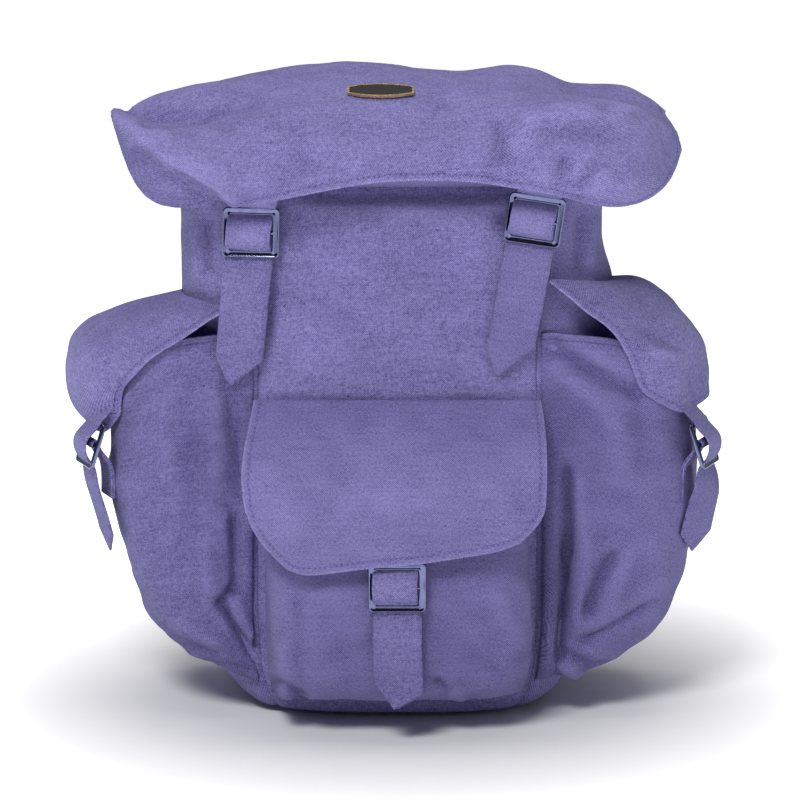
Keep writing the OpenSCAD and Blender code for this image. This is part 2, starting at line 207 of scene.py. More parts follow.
def fold(grid, strokes):
    """Folds a grid along given lines, each (across, up, across, up, width, height) as they are seen.

    A fold of negative height is a valley, and a seventh value of 1 makes a crease. Folds fade out
    towards their ends and on cloth that faces away.
    """
    for u0, v0, u1, v1, width, height, *crease in strokes:
        place, face_normals = seen(grid), normals(grid)
        facing = smooth(-face_normals[..., 1] * 4)
        start, run = np.array([u0, v0]), np.array([u1 - u0, v1 - v0])
        share = (place - start) @ run / (run @ run)
        off = np.linalg.norm(place - start - share[..., None] * run, axis=2)
        ends = smooth(share / 0.35 + 0.4) * smooth((1 - share) / 0.35 + 0.4)
        relief = height * np.exp(-((off / width) ** (1.0 if crease else 1.7))) * ends * facing
        grid = grid + face_normals * relief[..., None]
    return grid


def rest_on(grid, under, gap):
    """Lifts a grid clear of the cloth under it."""
    tree = surface_tree(under)
    grid = grid.copy()
    for index in np.ndindex(grid.shape[:2]):
        spot, up, _, _ = tree.find_nearest(Vector(grid[index]), 30)
        if spot is None:
            continue
        away = grid[index] - np.array(spot)
        high = away @ np.array(up)
        if high < gap and np.linalg.norm(away - high * np.array(up)) < 1.5:
            grid[index] += np.array(up) * (gap - high)
    return grid


def quads(rows, cols, wrap=False):
    """Corner numbers of each square of a grid whose points are counted row by row."""
    faces = []
    for i in range(rows - 1):
        for j in range(cols if wrap else cols - 1):
            k = (j + 1) % cols
            faces.append([i * cols + j, i * cols + k, (i + 1) * cols + k, (i + 1) * cols + j])
    return faces


def surface_tree(grid):
    return BVHTree.FromPolygons(grid.reshape(-1, 3).tolist(), quads(*grid.shape[:2]))


def blur(grid, times, whole=False):
    """Softens the inside of a grid, and its border along itself when it is to be softened whole."""
    grid = grid.copy()
    for _ in range(times):
        grid[1:-1, 1:-1] = (
            grid[1:-1, 1:-1] * 4 + grid[:-2, 1:-1] + grid[2:, 1:-1] + grid[1:-1, :-2] + grid[1:-1, 2:]
        ) / 8
        if whole:
            for line in (grid[0], grid[:, 0], grid[:, -1]):
                line[1:-1] = (line[:-2] + 2 * line[1:-1] + line[2:]) / 4
    return grid


def rim_of(grid, wrap=False):
    """Row and column of every point round the border of a grid, in order."""
    rows, cols = grid.shape[:2]
    if wrap:
        return [[(0, j) for j in range(cols)], [(rows - 1, j) for j in range(cols)]]
    return [
        [(0, j) for j in range(cols)] + [(i, cols - 1) for i in range(1, rows)]
        + [(rows - 1, j) for j in range(cols - 2, -1, -1)] + [(i, 0) for i in range(rows - 2, 0, -1)]
    ]


def edge_distance(grid, sides):
    """Distance from each point to the nearest of the hemmed sides, which are named by L, R, B and T."""
    lines = {"L": grid[:, 0], "R": grid[:, -1], "B": grid[0], "T": grid[-1]}
    if not sides:
        return np.full(grid.shape[:2], 1000.0)
    near = np.full(grid.shape[:2], 1e9)
    for side in sides:
        line = lines[side]
        fine = at_lengths(line, np.linspace(0, lengths(line)[-1], 3 * len(line)))
        for part in np.array_split(fine, max(1, len(fine) // 40)):
            near = np.minimum(near, np.linalg.norm(grid[:, :, None] - part, axis=3).min(axis=2))
    return near


# ---------- meshes ----------

def in_scene(name, data):
    """A new object in the scene that shows the given data."""
    thing = bpy.data.objects.new(name, data)
    bpy.context.scene.collection.objects.link(thing)
    return thing


def new_object(name, points, faces, material):
    mesh = bpy.data.meshes.new(name)
    mesh.from_pydata((np.asarray(points) * MM).tolist(), [], faces)
    mesh.materials.append(material)
    mesh.polygons.foreach_set("use_smooth", [True] * len(mesh.polygons))
    mesh.update()
    return in_scene(name, mesh)


def attach(piece, on):
    """on is a body's name, or a tuple (body, body, start, end) with points in millimetres whose parts are not
    used: such a piece keeps its place and goes on no body.
    """
    if isinstance(on, str):
        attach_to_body(piece, on)
    else:
        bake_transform(piece)


def set_attribute(mesh, name, kind, values):
    layer = mesh.attributes.new(name, kind, "POINT")
    key = "vector" if kind == "FLOAT_VECTOR" else "value"
    layer.data.foreach_set(key, np.asarray(values, np.float32).ravel())


def dress(piece, weave, edge, source, seed, hollow=None):
    """Gives each point of a piece the cloth's measures at its source point, for the material to read.

    The seed keeps the pattern of one piece far from that of the next.
    """
    layer = np.full((edge.size, 1), 37.0 * seed)
    weave = np.concatenate([weave.reshape(-1, 2), layer], axis=1) * MM
    set_attribute(piece.data, "weave", "FLOAT_VECTOR", weave[source])
    set_attribute(piece.data, "edge", "FLOAT", (edge.reshape(-1) * MM)[source])
    if hollow is not None:
        set_attribute(piece.data, "hollow", "FLOAT", (hollow.reshape(-1) * MM)[source])


def two_faces(rows, cols, wrap=False):
    """Squares of a grid and of the same grid behind it, which looks the other way."""
    faces = []
    for quad in quads(rows, cols, wrap):
        faces += [quad, [rows * cols + k for k in reversed(quad)]]
    return faces


def cloth_mesh(name, grid, thick, material, sides="", wrap=False, seed=0):
    """A closed piece of cloth whose face is the grid, with rolled edges."""
    rows, cols = grid.shape[:2]
    n = rows * cols
    back = grid - normals(grid, wrap) * thick
    points = [grid.reshape(-1, 3), back.reshape(-1, 3)]
    faces = two_faces(rows, cols, wrap)
    source = list(range(n)) * 2
    for loop in rim_of(grid, wrap):
        ids = [i * cols + j for i, j in loop]
        inward = [(min(max(i, 1), rows - 2), j if wrap else min(max(j, 1), cols - 2)) for i, j in loop]
        away = np.array([grid[a] - grid[b] for a, b in zip(loop, inward)])
        away /= np.maximum(np.linalg.norm(away, axis=1, keepdims=True), 1e-9)
        first = sum(len(p) for p in points)
        points.append(np.array([(grid[a] + back[a]) / 2 for a in loop]) + away * thick * 0.45)
        source += ids
        flip = wrap and loop[0][0] > 0
        for k in range(len(ids)):
            m = (k + 1) % len(ids)
            outer = [ids[k], first + k, first + m, ids[m]]
            inner = [first + k, n + ids[k], n + ids[m], first + m]
            faces += [outer[::-1], inner[::-1]] if flip else [outer, inner]
    piece = new_object(name, np.concatenate(points), faces, material)
    dress(piece, weave_of(grid), edge_distance(grid, sides), source, seed, hollow_of(grid))
    return piece


# Rings of a stitch: share of its length, and lift and fatness in shares of its own.
STITCH = [(0, -0.2, 0.35), (0.2, 0.1, 0.9), (0.5, 0.15, 1), (0.8, 0.1, 0.9), (1, -0.2, 0.35)]


def thread(name, lines, surface, on, long=2.2, gap=1.0, thick=0.25):
    """Rows of stitches along lines of points, lying on a grid."""
    tree = surface_tree(surface)
    sides, rings = 5, len(STITCH)
    points, faces = [], []
    for line in lines:
        total = lengths(line)[-1]
        count = int(total // (long + gap))
        if count < 1:
            continue
        step = total / count
        starts = at_lengths(line, np.arange(count) * step + (step - long) / 2)
        ends = at_lengths(line, np.arange(count) * step + (step + long) / 2)
        for a, b in zip(starts, ends):
            run = b - a
            spot, up, _, _ = tree.find_nearest(Vector((a + b) / 2))
            up = np.array(up)
            across = np.cross(run, up)
            size = np.linalg.norm(across)
            if size < 1e-6:
                continue
            across /= size
            shift = np.array(spot) - (a + b) / 2
            first = len(points)
            for share, lift, fat in STITCH:
                centre = a + run * share + shift + up * lift
                for s in range(sides):
                    t = 2 * math.pi * s / sides
                    points.append(centre + (across * math.cos(t) + up * math.sin(t) * 0.8) * thick * fat)
            faces += [[first + k for k in quad] for quad in quads(rings, sides, wrap=True)]
            faces.append([first + s for s in reversed(range(sides))])
            faces.append([first + (rings - 1) * sides + s for s in range(sides)])
    piece = new_object(name, points, faces, MATERIALS["thread"])
    attach(piece, on)
    return piece


def hem_lines(grid, sides, inset=HEM):
    """Lines that follow the hemmed sides of a grid at a distance inside them."""
    def round_sides(values):
        ends = {"L": values[::-1, 0], "B": values[0], "R": values[:, -1], "T": values[-1, ::-1]}
        parts = [ends[side] for side in "LBRT" if side in sides]
        return np.concatenate(parts[:1] + [part[1:] for part in parts[1:]])

    border, up = round_sides(grid), round_sides(normals(grid))
    along = np.gradient(border, axis=0)
    inward = np.cross(up, along)
    inward /= np.maximum(np.linalg.norm(inward, axis=1, keepdims=True), 1e-9)
    line = border + inward * inset
    gap = np.linalg.norm(line[:, None] - border[None], axis=2).min(axis=1)
    return [line[gap > 0.8 * inset]]


def cloth(name, grid, on="root", replaces=(), sides="", seed=0, thick=CANVAS_T, material="canvas",
          wrap=False, seams=(), inset=HEM):
    """A finished piece of cloth: its mesh, stitches, body when it is given one by name, and material slot;
    its cut size is worked out and not kept.
    """
    piece = cloth_mesh(name, grid, thick, MATERIALS[material], sides, wrap, seed)
    attach(piece, on)
    if replaces:
        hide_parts(*replaces)
    lines = (hem_lines(grid, sides, inset) if sides else []) + [np.array(s, float) for s in seams]
    sewn = []
    if lines:
        sewn = [thread(name + "_stitches", lines, grid, on)]
    closed = np.concatenate([grid, grid[:, :1]], axis=1) if wrap else grid
    measured_sheet(closed)
    return piece


def measured_sheet(grid):
    """Works out the size and area of the cut that a grid was made from, and keeps neither."""
    across = round(np.linalg.norm(np.diff(grid, axis=1), axis=2).sum(axis=1).max() * MM, 3)
    up = round(np.linalg.norm(np.diff(grid, axis=0), axis=2).sum(axis=0).max() * MM, 3)
    a, b, c, d = grid[:-1, :-1], grid[:-1, 1:], grid[1:, 1:], grid[1:, :-1]
    area = np.linalg.norm(np.cross(b - a, c - a), axis=2) + np.linalg.norm(np.cross(c - a, d - a), axis=2)
    area = min(max(area.sum() / 2 * MM * MM, 0.31 * across * up), across * up)


# ---------- materials ----------

def add(tree, kind, inputs=None, **settings):
    """A new node with its settings, and its inputs set or linked."""
    node = tree.nodes.new(kind)
    for key, value in settings.items():
        setattr(node, key, value)
    for key, value in (inputs or {}).items():
        if isinstance(value, bpy.types.NodeSocket):
            tree.links.new(value, node.inputs[key])
        else:
            node.inputs[key].default_value = value
    return node


def maths(tree, how, a, b=0.0, c=0.0):
    return add(tree, "ShaderNodeMath", {0: a, 1: b, 2: c}, operation=how).outputs[0]


def blank(name):
    material = bpy.data.materials.new(name)
    material.use_nodes = True
    return material, material.node_tree, material.node_tree.nodes["Principled BSDF"]


def in_millimetres(tree, place):
    return add(tree, "ShaderNodeVectorMath", {0: place, "Scale": 1 / MM}, operation="SCALE").outputs[0]


def noise(tree, where, scale, detail=2.0, rough=0.5, stretch=(1, 1, 1)):
    spot = add(tree, "ShaderNodeVectorMath", {0: where, 1: stretch}, operation="MULTIPLY").outputs[0]
    settings = {"Vector": spot, "Scale": scale, "Detail": detail, "Roughness": rough}
    return add(tree, "ShaderNodeTexNoise", settings).outputs["Fac"]


def bands(tree, where, pitch, way, **settings):
    """Stripes across the cloth, which a wave texture of scale 0.314 repeats once a unit."""
    inputs = {key.replace("_", " "): value for key, value in settings.items()}
    inputs.update({"Vector": where, "Scale": 0.314 / pitch})
    return add(tree, "ShaderNodeTexWave", inputs, wave_type="BANDS", bands_direction=way).outputs["Fac"]


def carry(tree, value, low, high, to_low=0.0, to_high=1.0, **settings):
    """A value carried from one range to another and held at its ends."""
    spans = {"Value": value, "From Min": low, "From Max": high, "To Min": to_low, "To Max": to_high}
    return add(tree, "ShaderNodeMapRange", spans, **settings).outputs[0]


def total(tree, start, parts):
    """A sum of values, each with its weight."""
    for value, weight in parts:
        start = maths(tree, "MULTIPLY_ADD", value, weight, start)
    return start


def colour(tree, shader, value, dark, light, low=0.0, high=1.0):
    """Colours a shader from dark to light as a value goes from low to high."""
    ramp = add(tree, "ShaderNodeValToRGB", {"Fac": value})
    for element, place, shade in zip(ramp.color_ramp.elements, (low, high), (dark, light)):
        element.position, element.color = place, (*shade, 1)
    tree.links.new(ramp.outputs["Color"], shader.inputs["Base Color"])


def roughen(tree, shader, height, strength, distance, rough):
    """Gives a shader its relief and its roughness."""
    bump = add(tree, "ShaderNodeBump", {"Height": height, "Strength": strength, "Distance": distance * MM})
    tree.links.new(bump.outputs["Normal"], shader.inputs["Normal"])
    tree.links.new(rough, shader.inputs["Roughness"])


def fabric(name, dark, light, rib=0.0, sheen=0.1, grain=1.0):
    """Woven canvas, or webbing with ribs. Its pattern lies on the cloth, in millimetres."""
    material, tree, shader = blank(name)
    weave, edge, hollow = (
        add(tree, "ShaderNodeAttribute", attribute_name=key).outputs[way]
        for key, way in (("weave", "Vector"), ("edge", "Fac"), ("hollow", "Fac"))
    )
    place = in_millimetres(tree, weave)
    edge = maths(tree, "MULTIPLY", edge, 1 / MM)

    # Where one yarn passes over another the cloth is high and pale, and between them low and dark.
    yarns = [bands(tree, place, YARN, way, Distortion=0.7, Detail=1.0, Detail_Scale=0.6) for way in "XY"]
    over = maths(tree, "MULTIPLY", *(maths(tree, "SUBTRACT", yarn, 0.5) for yarn in yarns))
    floats_up = noise(tree, place, 1.5, 2.0, 0.6, (1.3, 0.35, 1))
    floats_across = noise(tree, place, 1.5, 2.0, 0.6, (0.35, 1.3, 1))
    fine = noise(tree, place, 2.6, 2.0, 0.7)
    slub = noise(tree, place, 1.0, 2.0, 0.5, (0.03, 0.7, 1))
    tone = noise(tree, place, 0.014, 2.0, 0.5)
    patch = noise(tree, place, 0.07, 3.0, 0.55)
    knots = carry(tree, noise(tree, place, 0.45, 1.0), 0.73, 0.79)
    lint = carry(tree, noise(tree, place, 0.62, 1.0, 0.5, (1, 1, 1.7)), 0.74, 0.8)
    # Painted shade darkens the hollows of folds, and a painted highlight makes their ridges pale.
    painted_fold_shading = carry(tree, hollow, -2 * MM, 2 * MM, 0.18, -0.18)
    # The fold of a hem is worn pale, and its line of stitches sits in a groove, which is darkened with
    # painted shade.
    worn = carry(tree, edge, 0.2, 1.4, 0.22, 0.0)
    groove = maths(tree, "ABSOLUTE", maths(tree, "SUBTRACT", edge, HEM))
    groove = carry(tree, groove, 0.1, 0.9, 1.0, 0.0)
    ribs = bands(tree, place, rib, "Y", Distortion=0.3) if rib else None

    swings = [
        (fine, 0.6 * grain), (floats_up, 1.2 * grain), (floats_across, 1.35 * grain), (slub, 0.35 * grain),
        (tone, 0.3), (patch, 0.2), *([(ribs, 0.5)] if rib else []),
    ]
    middle = 0.5 - sum(weight for _, weight in swings) / 2
    marks = [(over, 1.4 * grain), (knots, -0.45), (lint, 0.45), (painted_fold_shading, 1.0), (worn, 1.0), (groove, -0.32)]
    colour(tree, shader, total(tree, middle, swings + marks), dark, light)

    high = [(over, 2.6), (fine, 0.5), (floats_up, 0.7), (floats_across, 0.7), (groove, -0.7)]
    height = total(tree, 0.0, high + ([(ribs, 2.0)] if rib else []))
    roughen(tree, shader, height, 0.7, 0.4, maths(tree, "MULTIPLY_ADD", fine, 0.2, 0.76))
    shader.inputs["Sheen Weight"].default_value = sheen
    shader.inputs["Sheen Roughness"].default_value = 0.5
    shader.inputs["Sheen Tint"].default_value = (0.85, 0.84, 0.92, 1)
    shader.inputs["Specular IOR Level"].default_value = 0.15
    return material


def metal(name, shade, rough):
    """Polished metal with fine scratches and smudges."""
    material, tree, shader = blank(name)
    place = in_millimetres(tree, add(tree, "ShaderNodeTexCoord").outputs["Object"])
    smudge = noise(tree, place, 0.25, 3.0, 0.6)
    scratch = noise(tree, place, 1.0, 3.0, 0.6, (0.3, 3.0, 4.0))
    colour(tree, shader, smudge, [c * 0.72 for c in shade], shade, 0.25, 0.6)
    roughen(tree, shader, scratch, 0.15, 0.05, maths(tree, "MULTIPLY_ADD", smudge, 0.1, rough))
    shader.inputs["Metallic"].default_value = 1.0
    return material


def enamel(name):
    """Glossy black enamel with dust in it."""
    material, tree, shader = blank(name)
    speck = noise(tree, add(tree, "ShaderNodeTexCoord").outputs["Object"], 1400.0, 3.0, 0.7)
    colour(tree, shader, speck, (0.006, 0.006, 0.008), (0.05, 0.045, 0.05), 0.35, 0.85)
    tree.links.new(maths(tree, "MULTIPLY_ADD", speck, 0.3, 0.25), shader.inputs["Roughness"])
    shader.inputs["Specular IOR Level"].default_value = 0.2
    return material


MATERIALS = {
    "canvas": fabric("canvas", (0.050, 0.045, 0.165), (0.330, 0.300, 0.640)),
    # The canvas made darker: painted shade for the pockets.
    "pocket_canvas_painted_shade": fabric("pocket_canvas_painted_shade", (0.042, 0.038, 0.140), (0.262, 0.238, 0.530)),
    "strap_canvas": fabric("strap_canvas", (0.046, 0.041, 0.158), (0.310, 0.281, 0.595)),
    "webbing": fabric("webbing", (0.040, 0.036, 0.140), (0.215, 0.195, 0.450), rib=2.4, sheen=0.15),
    "thread": fabric("thread", (0.050, 0.045, 0.170), (0.250, 0.225, 0.540), grain=0.5),
    # The steel's dark navy tint is a painted reflection of the navy canvas and dark surroundings.
    "buckle_steel": metal("buckle_steel", (0.15, 0.16, 0.30), 0.10),
    "brass": metal("brass", (0.80, 0.58, 0.24), 0.22),
    "badge_enamel": enamel("badge_enamel"),
}

# ---------- sack ----------

SQUARENESS = 3.4  # exponent of the sack's rounded-rectangle section
WALL_LOW, WALL_TOP = box("front_panel")[0][2], box("front_panel")[1][2]
HALF_W = max(box("right_side_panel")[1][0], -box("left_side_panel")[0][0])
HALF_D = box("throat_collar")[1][1] / 0.96
COLLAR_TOP = box("throat_collar")[1][2]
FRONT_SEAM, BACK_SEAM = 219.0, 146.0  # bearings of the seams of the left side panel
WIDTH_SHARES = np.array([[0, 0.66], [0.03, 0.76], [0.09, 0.88], [0.18, 0.955], [0.45, 0.99], [1, 1]])
DEPTH_SHARES = np.array([[0, 0.96], [0.03, 1], [0.09, 1.02], [0.2, 1.02], [0.45, 1], [1, 0.96]])


def sack_at(bearing, z, off=0.0):
    """Point on the outside of the sack at a bearing in degrees and a height."""
    bearing, z = np.broadcast_arrays(np.asarray(bearing, float), np.asarray(z, float))
    w = HALF_W * np.interp(z / WALL_TOP, *WIDTH_SHARES.T)
    d = HALF_D * np.interp(z / WALL_TOP, *DEPTH_SHARES.T)
    c, s = np.cos(np.radians(bearing)), np.sin(np.radians(bearing))
    reach = ((np.abs(c) / w) ** SQUARENESS + (np.abs(s) / d) ** SQUARENESS) ** (-1 / SQUARENESS) + off
    return np.stack([reach * c, reach * s, z], axis=-1)


def draw_in(grid):
    """The throat pulled in a little under the collar, and the slack right shoulder of the sack."""
    x, y, z = np.moveaxis(grid, -1, 0)
    throat = 8 * smooth((z - WALL_TOP + 12) / 11) * (1 - smooth((z - WALL_TOP) / 4.5))
    throat = throat * smooth((x + 72) / 24) * smooth((82 - x) / 24) * (y < 0)
    slack = 7 * smooth((z - 255) / 45) * (1 - smooth((z - WALL_TOP) / 4.5)) * smooth((x - 60) / 70)
    return grid + np.stack([-slack, throat, 0 * z], axis=-1)


def mirror(grid):
    """The same grid on the other side of the sack, with its columns still running to the right."""
    return (grid * [-1, 1, 1])[:, ::-1]


def wall(start, end, cols, rows, strokes=(), seed=0, lump=0.9, flip=False):
    """A wall panel between two seams, drawn in a little where it is sewn to its neighbours."""
    slit = 0.12
    share = np.linspace(0, 1, cols)
    z = np.linspace(WALL_LOW, WALL_TOP, rows)
    bearing = start + slit + (end - start - 2 * slit) * share
    grid = even(sack_at(bearing[None, :], z[:, None]), rows, cols)
    weave = weave_of(grid)
    to_seam = np.minimum(weave[..., 0] - weave[:, :1, 0], weave[:, -1:, 0] - weave[..., 0])
    to_ends = np.minimum(weave[..., 1], weave[-1:, :, 1] - weave[..., 1])
    free = smooth(to_seam / 14) * smooth(to_ends / 16)
    relief = (crumple(weave, seed, 75, lump) + crumple(weave, seed + 50, 26, 0.28 * lump)) * free
    relief -= 1.3 * np.exp(-((to_seam / 2.6) ** 2))
    grid = grid + normals(grid) * relief[..., None]
    return draw_in(fold(mirror(grid) if flip else grid, strokes))


def make_sack():
    walls = [
        ("front", wall(FRONT_SEAM, 540 - FRONT_SEAM, 84, 110, FRONT_WALL_FOLDS, 11)),
        ("back", wall(180 - BACK_SEAM, BACK_SEAM, 88, 90, seed=23)),
        ("left", wall(BACK_SEAM, FRONT_SEAM, 44, 110, LEFT_WALL_FOLDS, 31)),
        ("right", wall(BACK_SEAM, FRONT_SEAM, 44, 110, RIGHT_WALL_FOLDS, 37, flip=True)),
    ]
    for seed, (side, grid) in enumerate(walls, 1):
        node = f"{side}_panel" if side in ("front", "back") else f"{side}_side_panel"
        cloth(f"{side}_wall", grid, replaces=[node], seed=seed)


FRONT_WALL_FOLDS = [
    (112, 122, 94, 66, 5, -3.5), (104, 116, 116, 86, 5, 2.5), (92, 110, 90, 60, 4, -2.0),
    (-86, 100, -84, 40, 4, -1.6), (-116, 118, -118, 74, 7, 3.0), (-104, 120, -104, 84, 5, -2.0),
    (-60, 128, 40, 132, 6, -1.4), (60, 118, 84, 96, 6, -1.6), (-20, 30, 50, 22, 12, 1.4),
]
LEFT_WALL_FOLDS = [(-124, 118, -122, 80, 4, -3.0), (-130, 112, -128, 76, 4, 2.5)]
RIGHT_WALL_FOLDS = [(124, 124, 118, 78, 5, -3.5), (132, 116, 124, 84, 4, 2.5)]


def make_base():
    """The bottom of the sack, which bellies down onto the floor."""
    side = np.linspace(-1, 1, 41)
    s, t = np.meshgrid(side, side)
    far = np.maximum(np.abs(s), np.abs(t))
    fit = far / np.maximum((np.abs(s) ** SQUARENESS + np.abs(t) ** SQUARENESS) ** (1 / SQUARENESS), 1e-9)
    high = box("base_panel")[1][2]
    w, d = WIDTH_SHARES[0][1] * HALF_W, box("base_panel")[1][1]
    z = 0.4 + high * smooth((far - 0.88) / 0.14)
    grid = np.stack([s * fit * w, -t * fit * d, z], axis=2)
    weave = weave_of(grid)
    grid[..., 2] += np.maximum(0, crumple(weave, 41, 60, 0.5)) * (1 - far)
    cloth("base_cloth", grid, replaces=["base_panel"], seed=5)


EYELETS, EYELET_R = 10, 4.0
COLLAR_ROWS, COLLAR_COLS = 17, 160


def make_collar():
    """The hemmed collar round the throat, with a hole for each eyelet."""
    bearing = np.linspace(0, 360, COLLAR_COLS, endpoint=False)
    grid = sack_at(bearing[None, :], np.full((COLLAR_ROWS, 1), WALL_TOP))
    grid[..., 2] = np.linspace(WALL_TOP, COLLAR_TOP, COLLAR_ROWS)[:, None]
    grid = draw_in(grid)
    piece = cloth_mesh("collar_cloth", grid, 2.0, MATERIALS["canvas"], wrap=True, seed=6)
    middle = (WALL_TOP + COLLAR_TOP) / 2
    cutter = bmesh.new()
    for i in range(EYELETS):
        b = 270 + (i + 0.5) * 360 / EYELETS
        run = sack_at(b + 3, WALL_TOP) - sack_at(b - 3, WALL_TOP)
        turn = math.atan2(run[1], run[0]) - math.pi / 2
        spot = sack_at(b, WALL_TOP)
        place = Matrix.Translation(Vector((spot[0], spot[1], middle)) * MM)
        place = place @ Matrix.Rotation(turn, 4, "Z") @ Matrix.Rotation(math.pi / 2, 4, "Y")
        bmesh.ops.create_cone(cutter, segments=28, radius1=EYELET_R * MM, radius2=EYELET_R * MM,
                              depth=16 * MM, cap_ends=True, matrix=place)
    mesh = bpy.data.meshes.new("cutter")
    cutter.to_mesh(mesh)
    tool = in_scene("cutter", mesh)
    cut = piece.modifiers.new("eyelet_holes", "BOOLEAN")
    cut.object, cut.operation, cut.solver = tool, "DIFFERENCE", "EXACT"
    bpy.context.view_layer.update()
    done = bpy.data.meshes.new_from_object(piece.evaluated_get(bpy.context.evaluated_depsgraph_get()))
    piece.modifiers.clear()
    piece.data = done
    done.polygons.foreach_set("use_smooth", [True] * len(done.polygons))
    bpy.data.objects.remove(tool)
    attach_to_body(piece, "root")
    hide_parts("throat_collar")


# ---------- lid ----------
# Rails of the lid from its front edge back to its seam, each from left to right.

LID_EDGE = [
    [-169.5, -71, 375.5], [-165.6, -75, 358.2], [-159.5, -78, 339.2], [-146.9, -80, 322.7],
    [-121.6, -84, 318.8], [-99, -90, 319.9], [-74, -96, 324], [-28.6, -98, 333], [1.5, -98, 336.4],
    [24, -98, 336.6], [46.3, -98, 335.6], [64.6, -97, 332.6], [80.5, -97, 330], [97, -96, 326.6],
    [123.2, -92, 320.2], [143.9, -84, 321.6], [161.5, -74, 332], [171.1, -62, 351.6],
]
LID_FOLD = [
    [-167.8, -80, 376.6], [-152.5, -103, 360], [-129.8, -112, 345.5], [-111.7, -112, 335.6],
    [-92.5, -105, 332.4], [-73.8, -99, 335], [-28.5, -97, 345], [1.5, -97, 349], [30.8, -97, 350.5],
    [60.2, -98, 345], [80.2, -99, 341.5], [96.7, -99, 338.5], [122.8, -100, 332.5], [143.5, -94, 334],
    [157.4, -82, 342.5], [169.8, -60, 357.6],
]
LID_BROW = [
    [-166.9, -68, 376.8], [-147, -80, 369.5], [-116.9, -86, 365.5], [-87, -86, 365.5], [-28, -84, 366.5],
    [31, -84, 367], [60.5, -86, 370.5], [90, -87, 374.5], [119.8, -84, 374.5], [144.3, -74, 372.5],
    [168, -50, 364],
]
LID_SLOPE = [
    [-164.5, -56, 375], [-149.9, -56, 368.5], [-132.8, -57, 369.5], [-110, -57, 374], [-81.4, -57, 379],
    [-50, -57, 383.6], [-10, -57, 385.2], [30, -56, 385.3], [74, -50, 386.5], [109, -42, 382],
    [135.5, -36, 380], [154.2, -30, 376], [165.7, -24, 369.5],
]
LID_CROWN = [
    [-163, -34, 373], [-158, -26, 380], [-147, -22, 384.5], [-126.5, -14, 389], [-110, -6, 391.5],
    [-92, 0, 393], [-76, 5, 394.6], [-60.6, 8, 396.6], [-24.8, 10, 400.2], [1.6, 10, 398], [37.3, 10, 394],
    [50, 10, 394.6],
    [73.5, 10, 397.4], [97.6, 8, 390.4], [113.2, 4, 386], [133.1, 0, 388.4], [143, -4, 387.6],
    [152, -8, 382.6], [158.5, -11, 378], [163.5, -15, 373.5],
]
LID_SHOULDER = [
    [-152, 28, 366], [-125, 42, 376], [-60, 53, 389], [0, 56, 391], [60, 54, 390], [122, 42, 378],
    [152, 28, 368],
]
LID_BACK = [[-137, 58, 350], [-110, 73, 354], [0, 77.5, 357], [110, 73, 354], [137, 58, 350]]
LID_SEAM = [[-130, 57, 331], [-106, 72.4, 331], [0, 76.6, 331], [106, 72.4, 331], [130, 57, 331]]
LID_RAILS = [LID_EDGE, LID_FOLD, LID_BROW, LID_SLOPE, LID_CROWN, LID_SHOULDER, LID_BACK, LID_SEAM]


def make_lid():
    grid = blur(loft(LID_RAILS, 130, 170), 3, whole=True)
    weave = weave_of(grid)
    edge = edge_distance(grid, "LBR")
    back = smooth((weave[-1:, :, 1] - weave[..., 1]) / 40)
    # The cloth lies flat under the badge.
    flat = 1 - np.exp(-(((grid[..., 0] + 10) / 27) ** 4 + ((grid[..., 1] + 58) / 16) ** 4))
    free = back * flat * smooth(edge / 16 + 0.1)
    relief = (crumple(weave, 61, 80, 0.8) + crumple(weave, 62, 24, 0.25)) * free
    relief += 0.16 * np.sin(weave[..., 0] / 1.5) * np.exp(-edge / 5)  # the hem puckers
    grid = grid + normals(grid) * relief[..., None]
    grid = blur(fold(grid, LID_FOLDS), 1, whole=True)
    on = ("root", "lid", (0, 80, 345), (0, 60, 372))
    seams = [line for corners in LID_BOXES for line in box_stitch(grid, corners)]
    piece = cloth("lid_cloth", grid, on=on, replaces=["lid"], sides="LBR", seed=7,
                  seams=seams)
    # Painted shade under the left crease of the lid.
    paint_crease_shade(piece, *LID_CREASE)


LID_CREASE = (np.array([-182.0, 184.0]), np.array([-112.0, 127.0]))


def paint_crease_shade(piece, start, end):
    """Paints shade on the front of a piece on the lower side of a crease, as the camera sees its ends, by
    raising the piece's hollow values there.
    """
    points = np.empty(len(piece.data.vertices) * 3)
    piece.data.vertices.foreach_get("co", points)
    points = points.reshape(-1, 3) / MM
    way = (end - start) / np.linalg.norm(end - start)
    place = seen(points) - start
    below = place[:, 0] * way[1] - place[:, 1] * way[0]
    along = place @ way
    share = smooth(below / 5) * smooth((np.linalg.norm(end - start) + 8 - along) / 16)
    share *= smooth((-points[:, 1] - 50) / 15)
    values = np.empty(len(points))
    layer = piece.data.attributes["hollow"].data
    layer.foreach_get("value", values)
    layer.foreach_set("value", values + share * 2 * MM)


# As the camera sees them: across, up, across, up, width, height.
LID_FOLDS = [
    (-182, 182, -108, 127, 6, 6.5, 1), (-146, 142, -112, 122, 5, -6.0), (-134, 133, -110, 121, 3.5, -3.5),
    (-170, 160, -148, 140, 5, -2.5), (-164, 178, -116, 183, 4, -6.5), (-124, 183, -84, 191, 6, -3.5),
    (-160, 171, -118, 172, 7, 2.0), (78, 176, 104, 184, 7, 3.4), (100, 185, 154, 182, 6, 3.4),
    (84, 168, 146, 172, 7, -3.0), (134, 196, 162, 186, 3, 3.0, 1), (124, 188, 156, 181, 4, -3.4),
    (62, 180, 66, 150, 6, -3.6), (105, 158, 103, 134, 4.5, -4.0), (126, 150, 111, 133, 3, -5.0, 1),
    (136, 141, 119, 145, 4, 2.6), (-60, 160, -20, 150, 12, 1.8), (20, 170, 56, 150, 12, 1.6),
    (-40, 172, 40, 176, 9, -1.2), (70, 160, 96, 166, 7, 1.8),
]
LID_BOXES = [
    [(-112, 158), (-80, 160), (-81, 128), (-113, 126)], [(76, 160), (106, 158), (101, 125), (75, 128)],
]


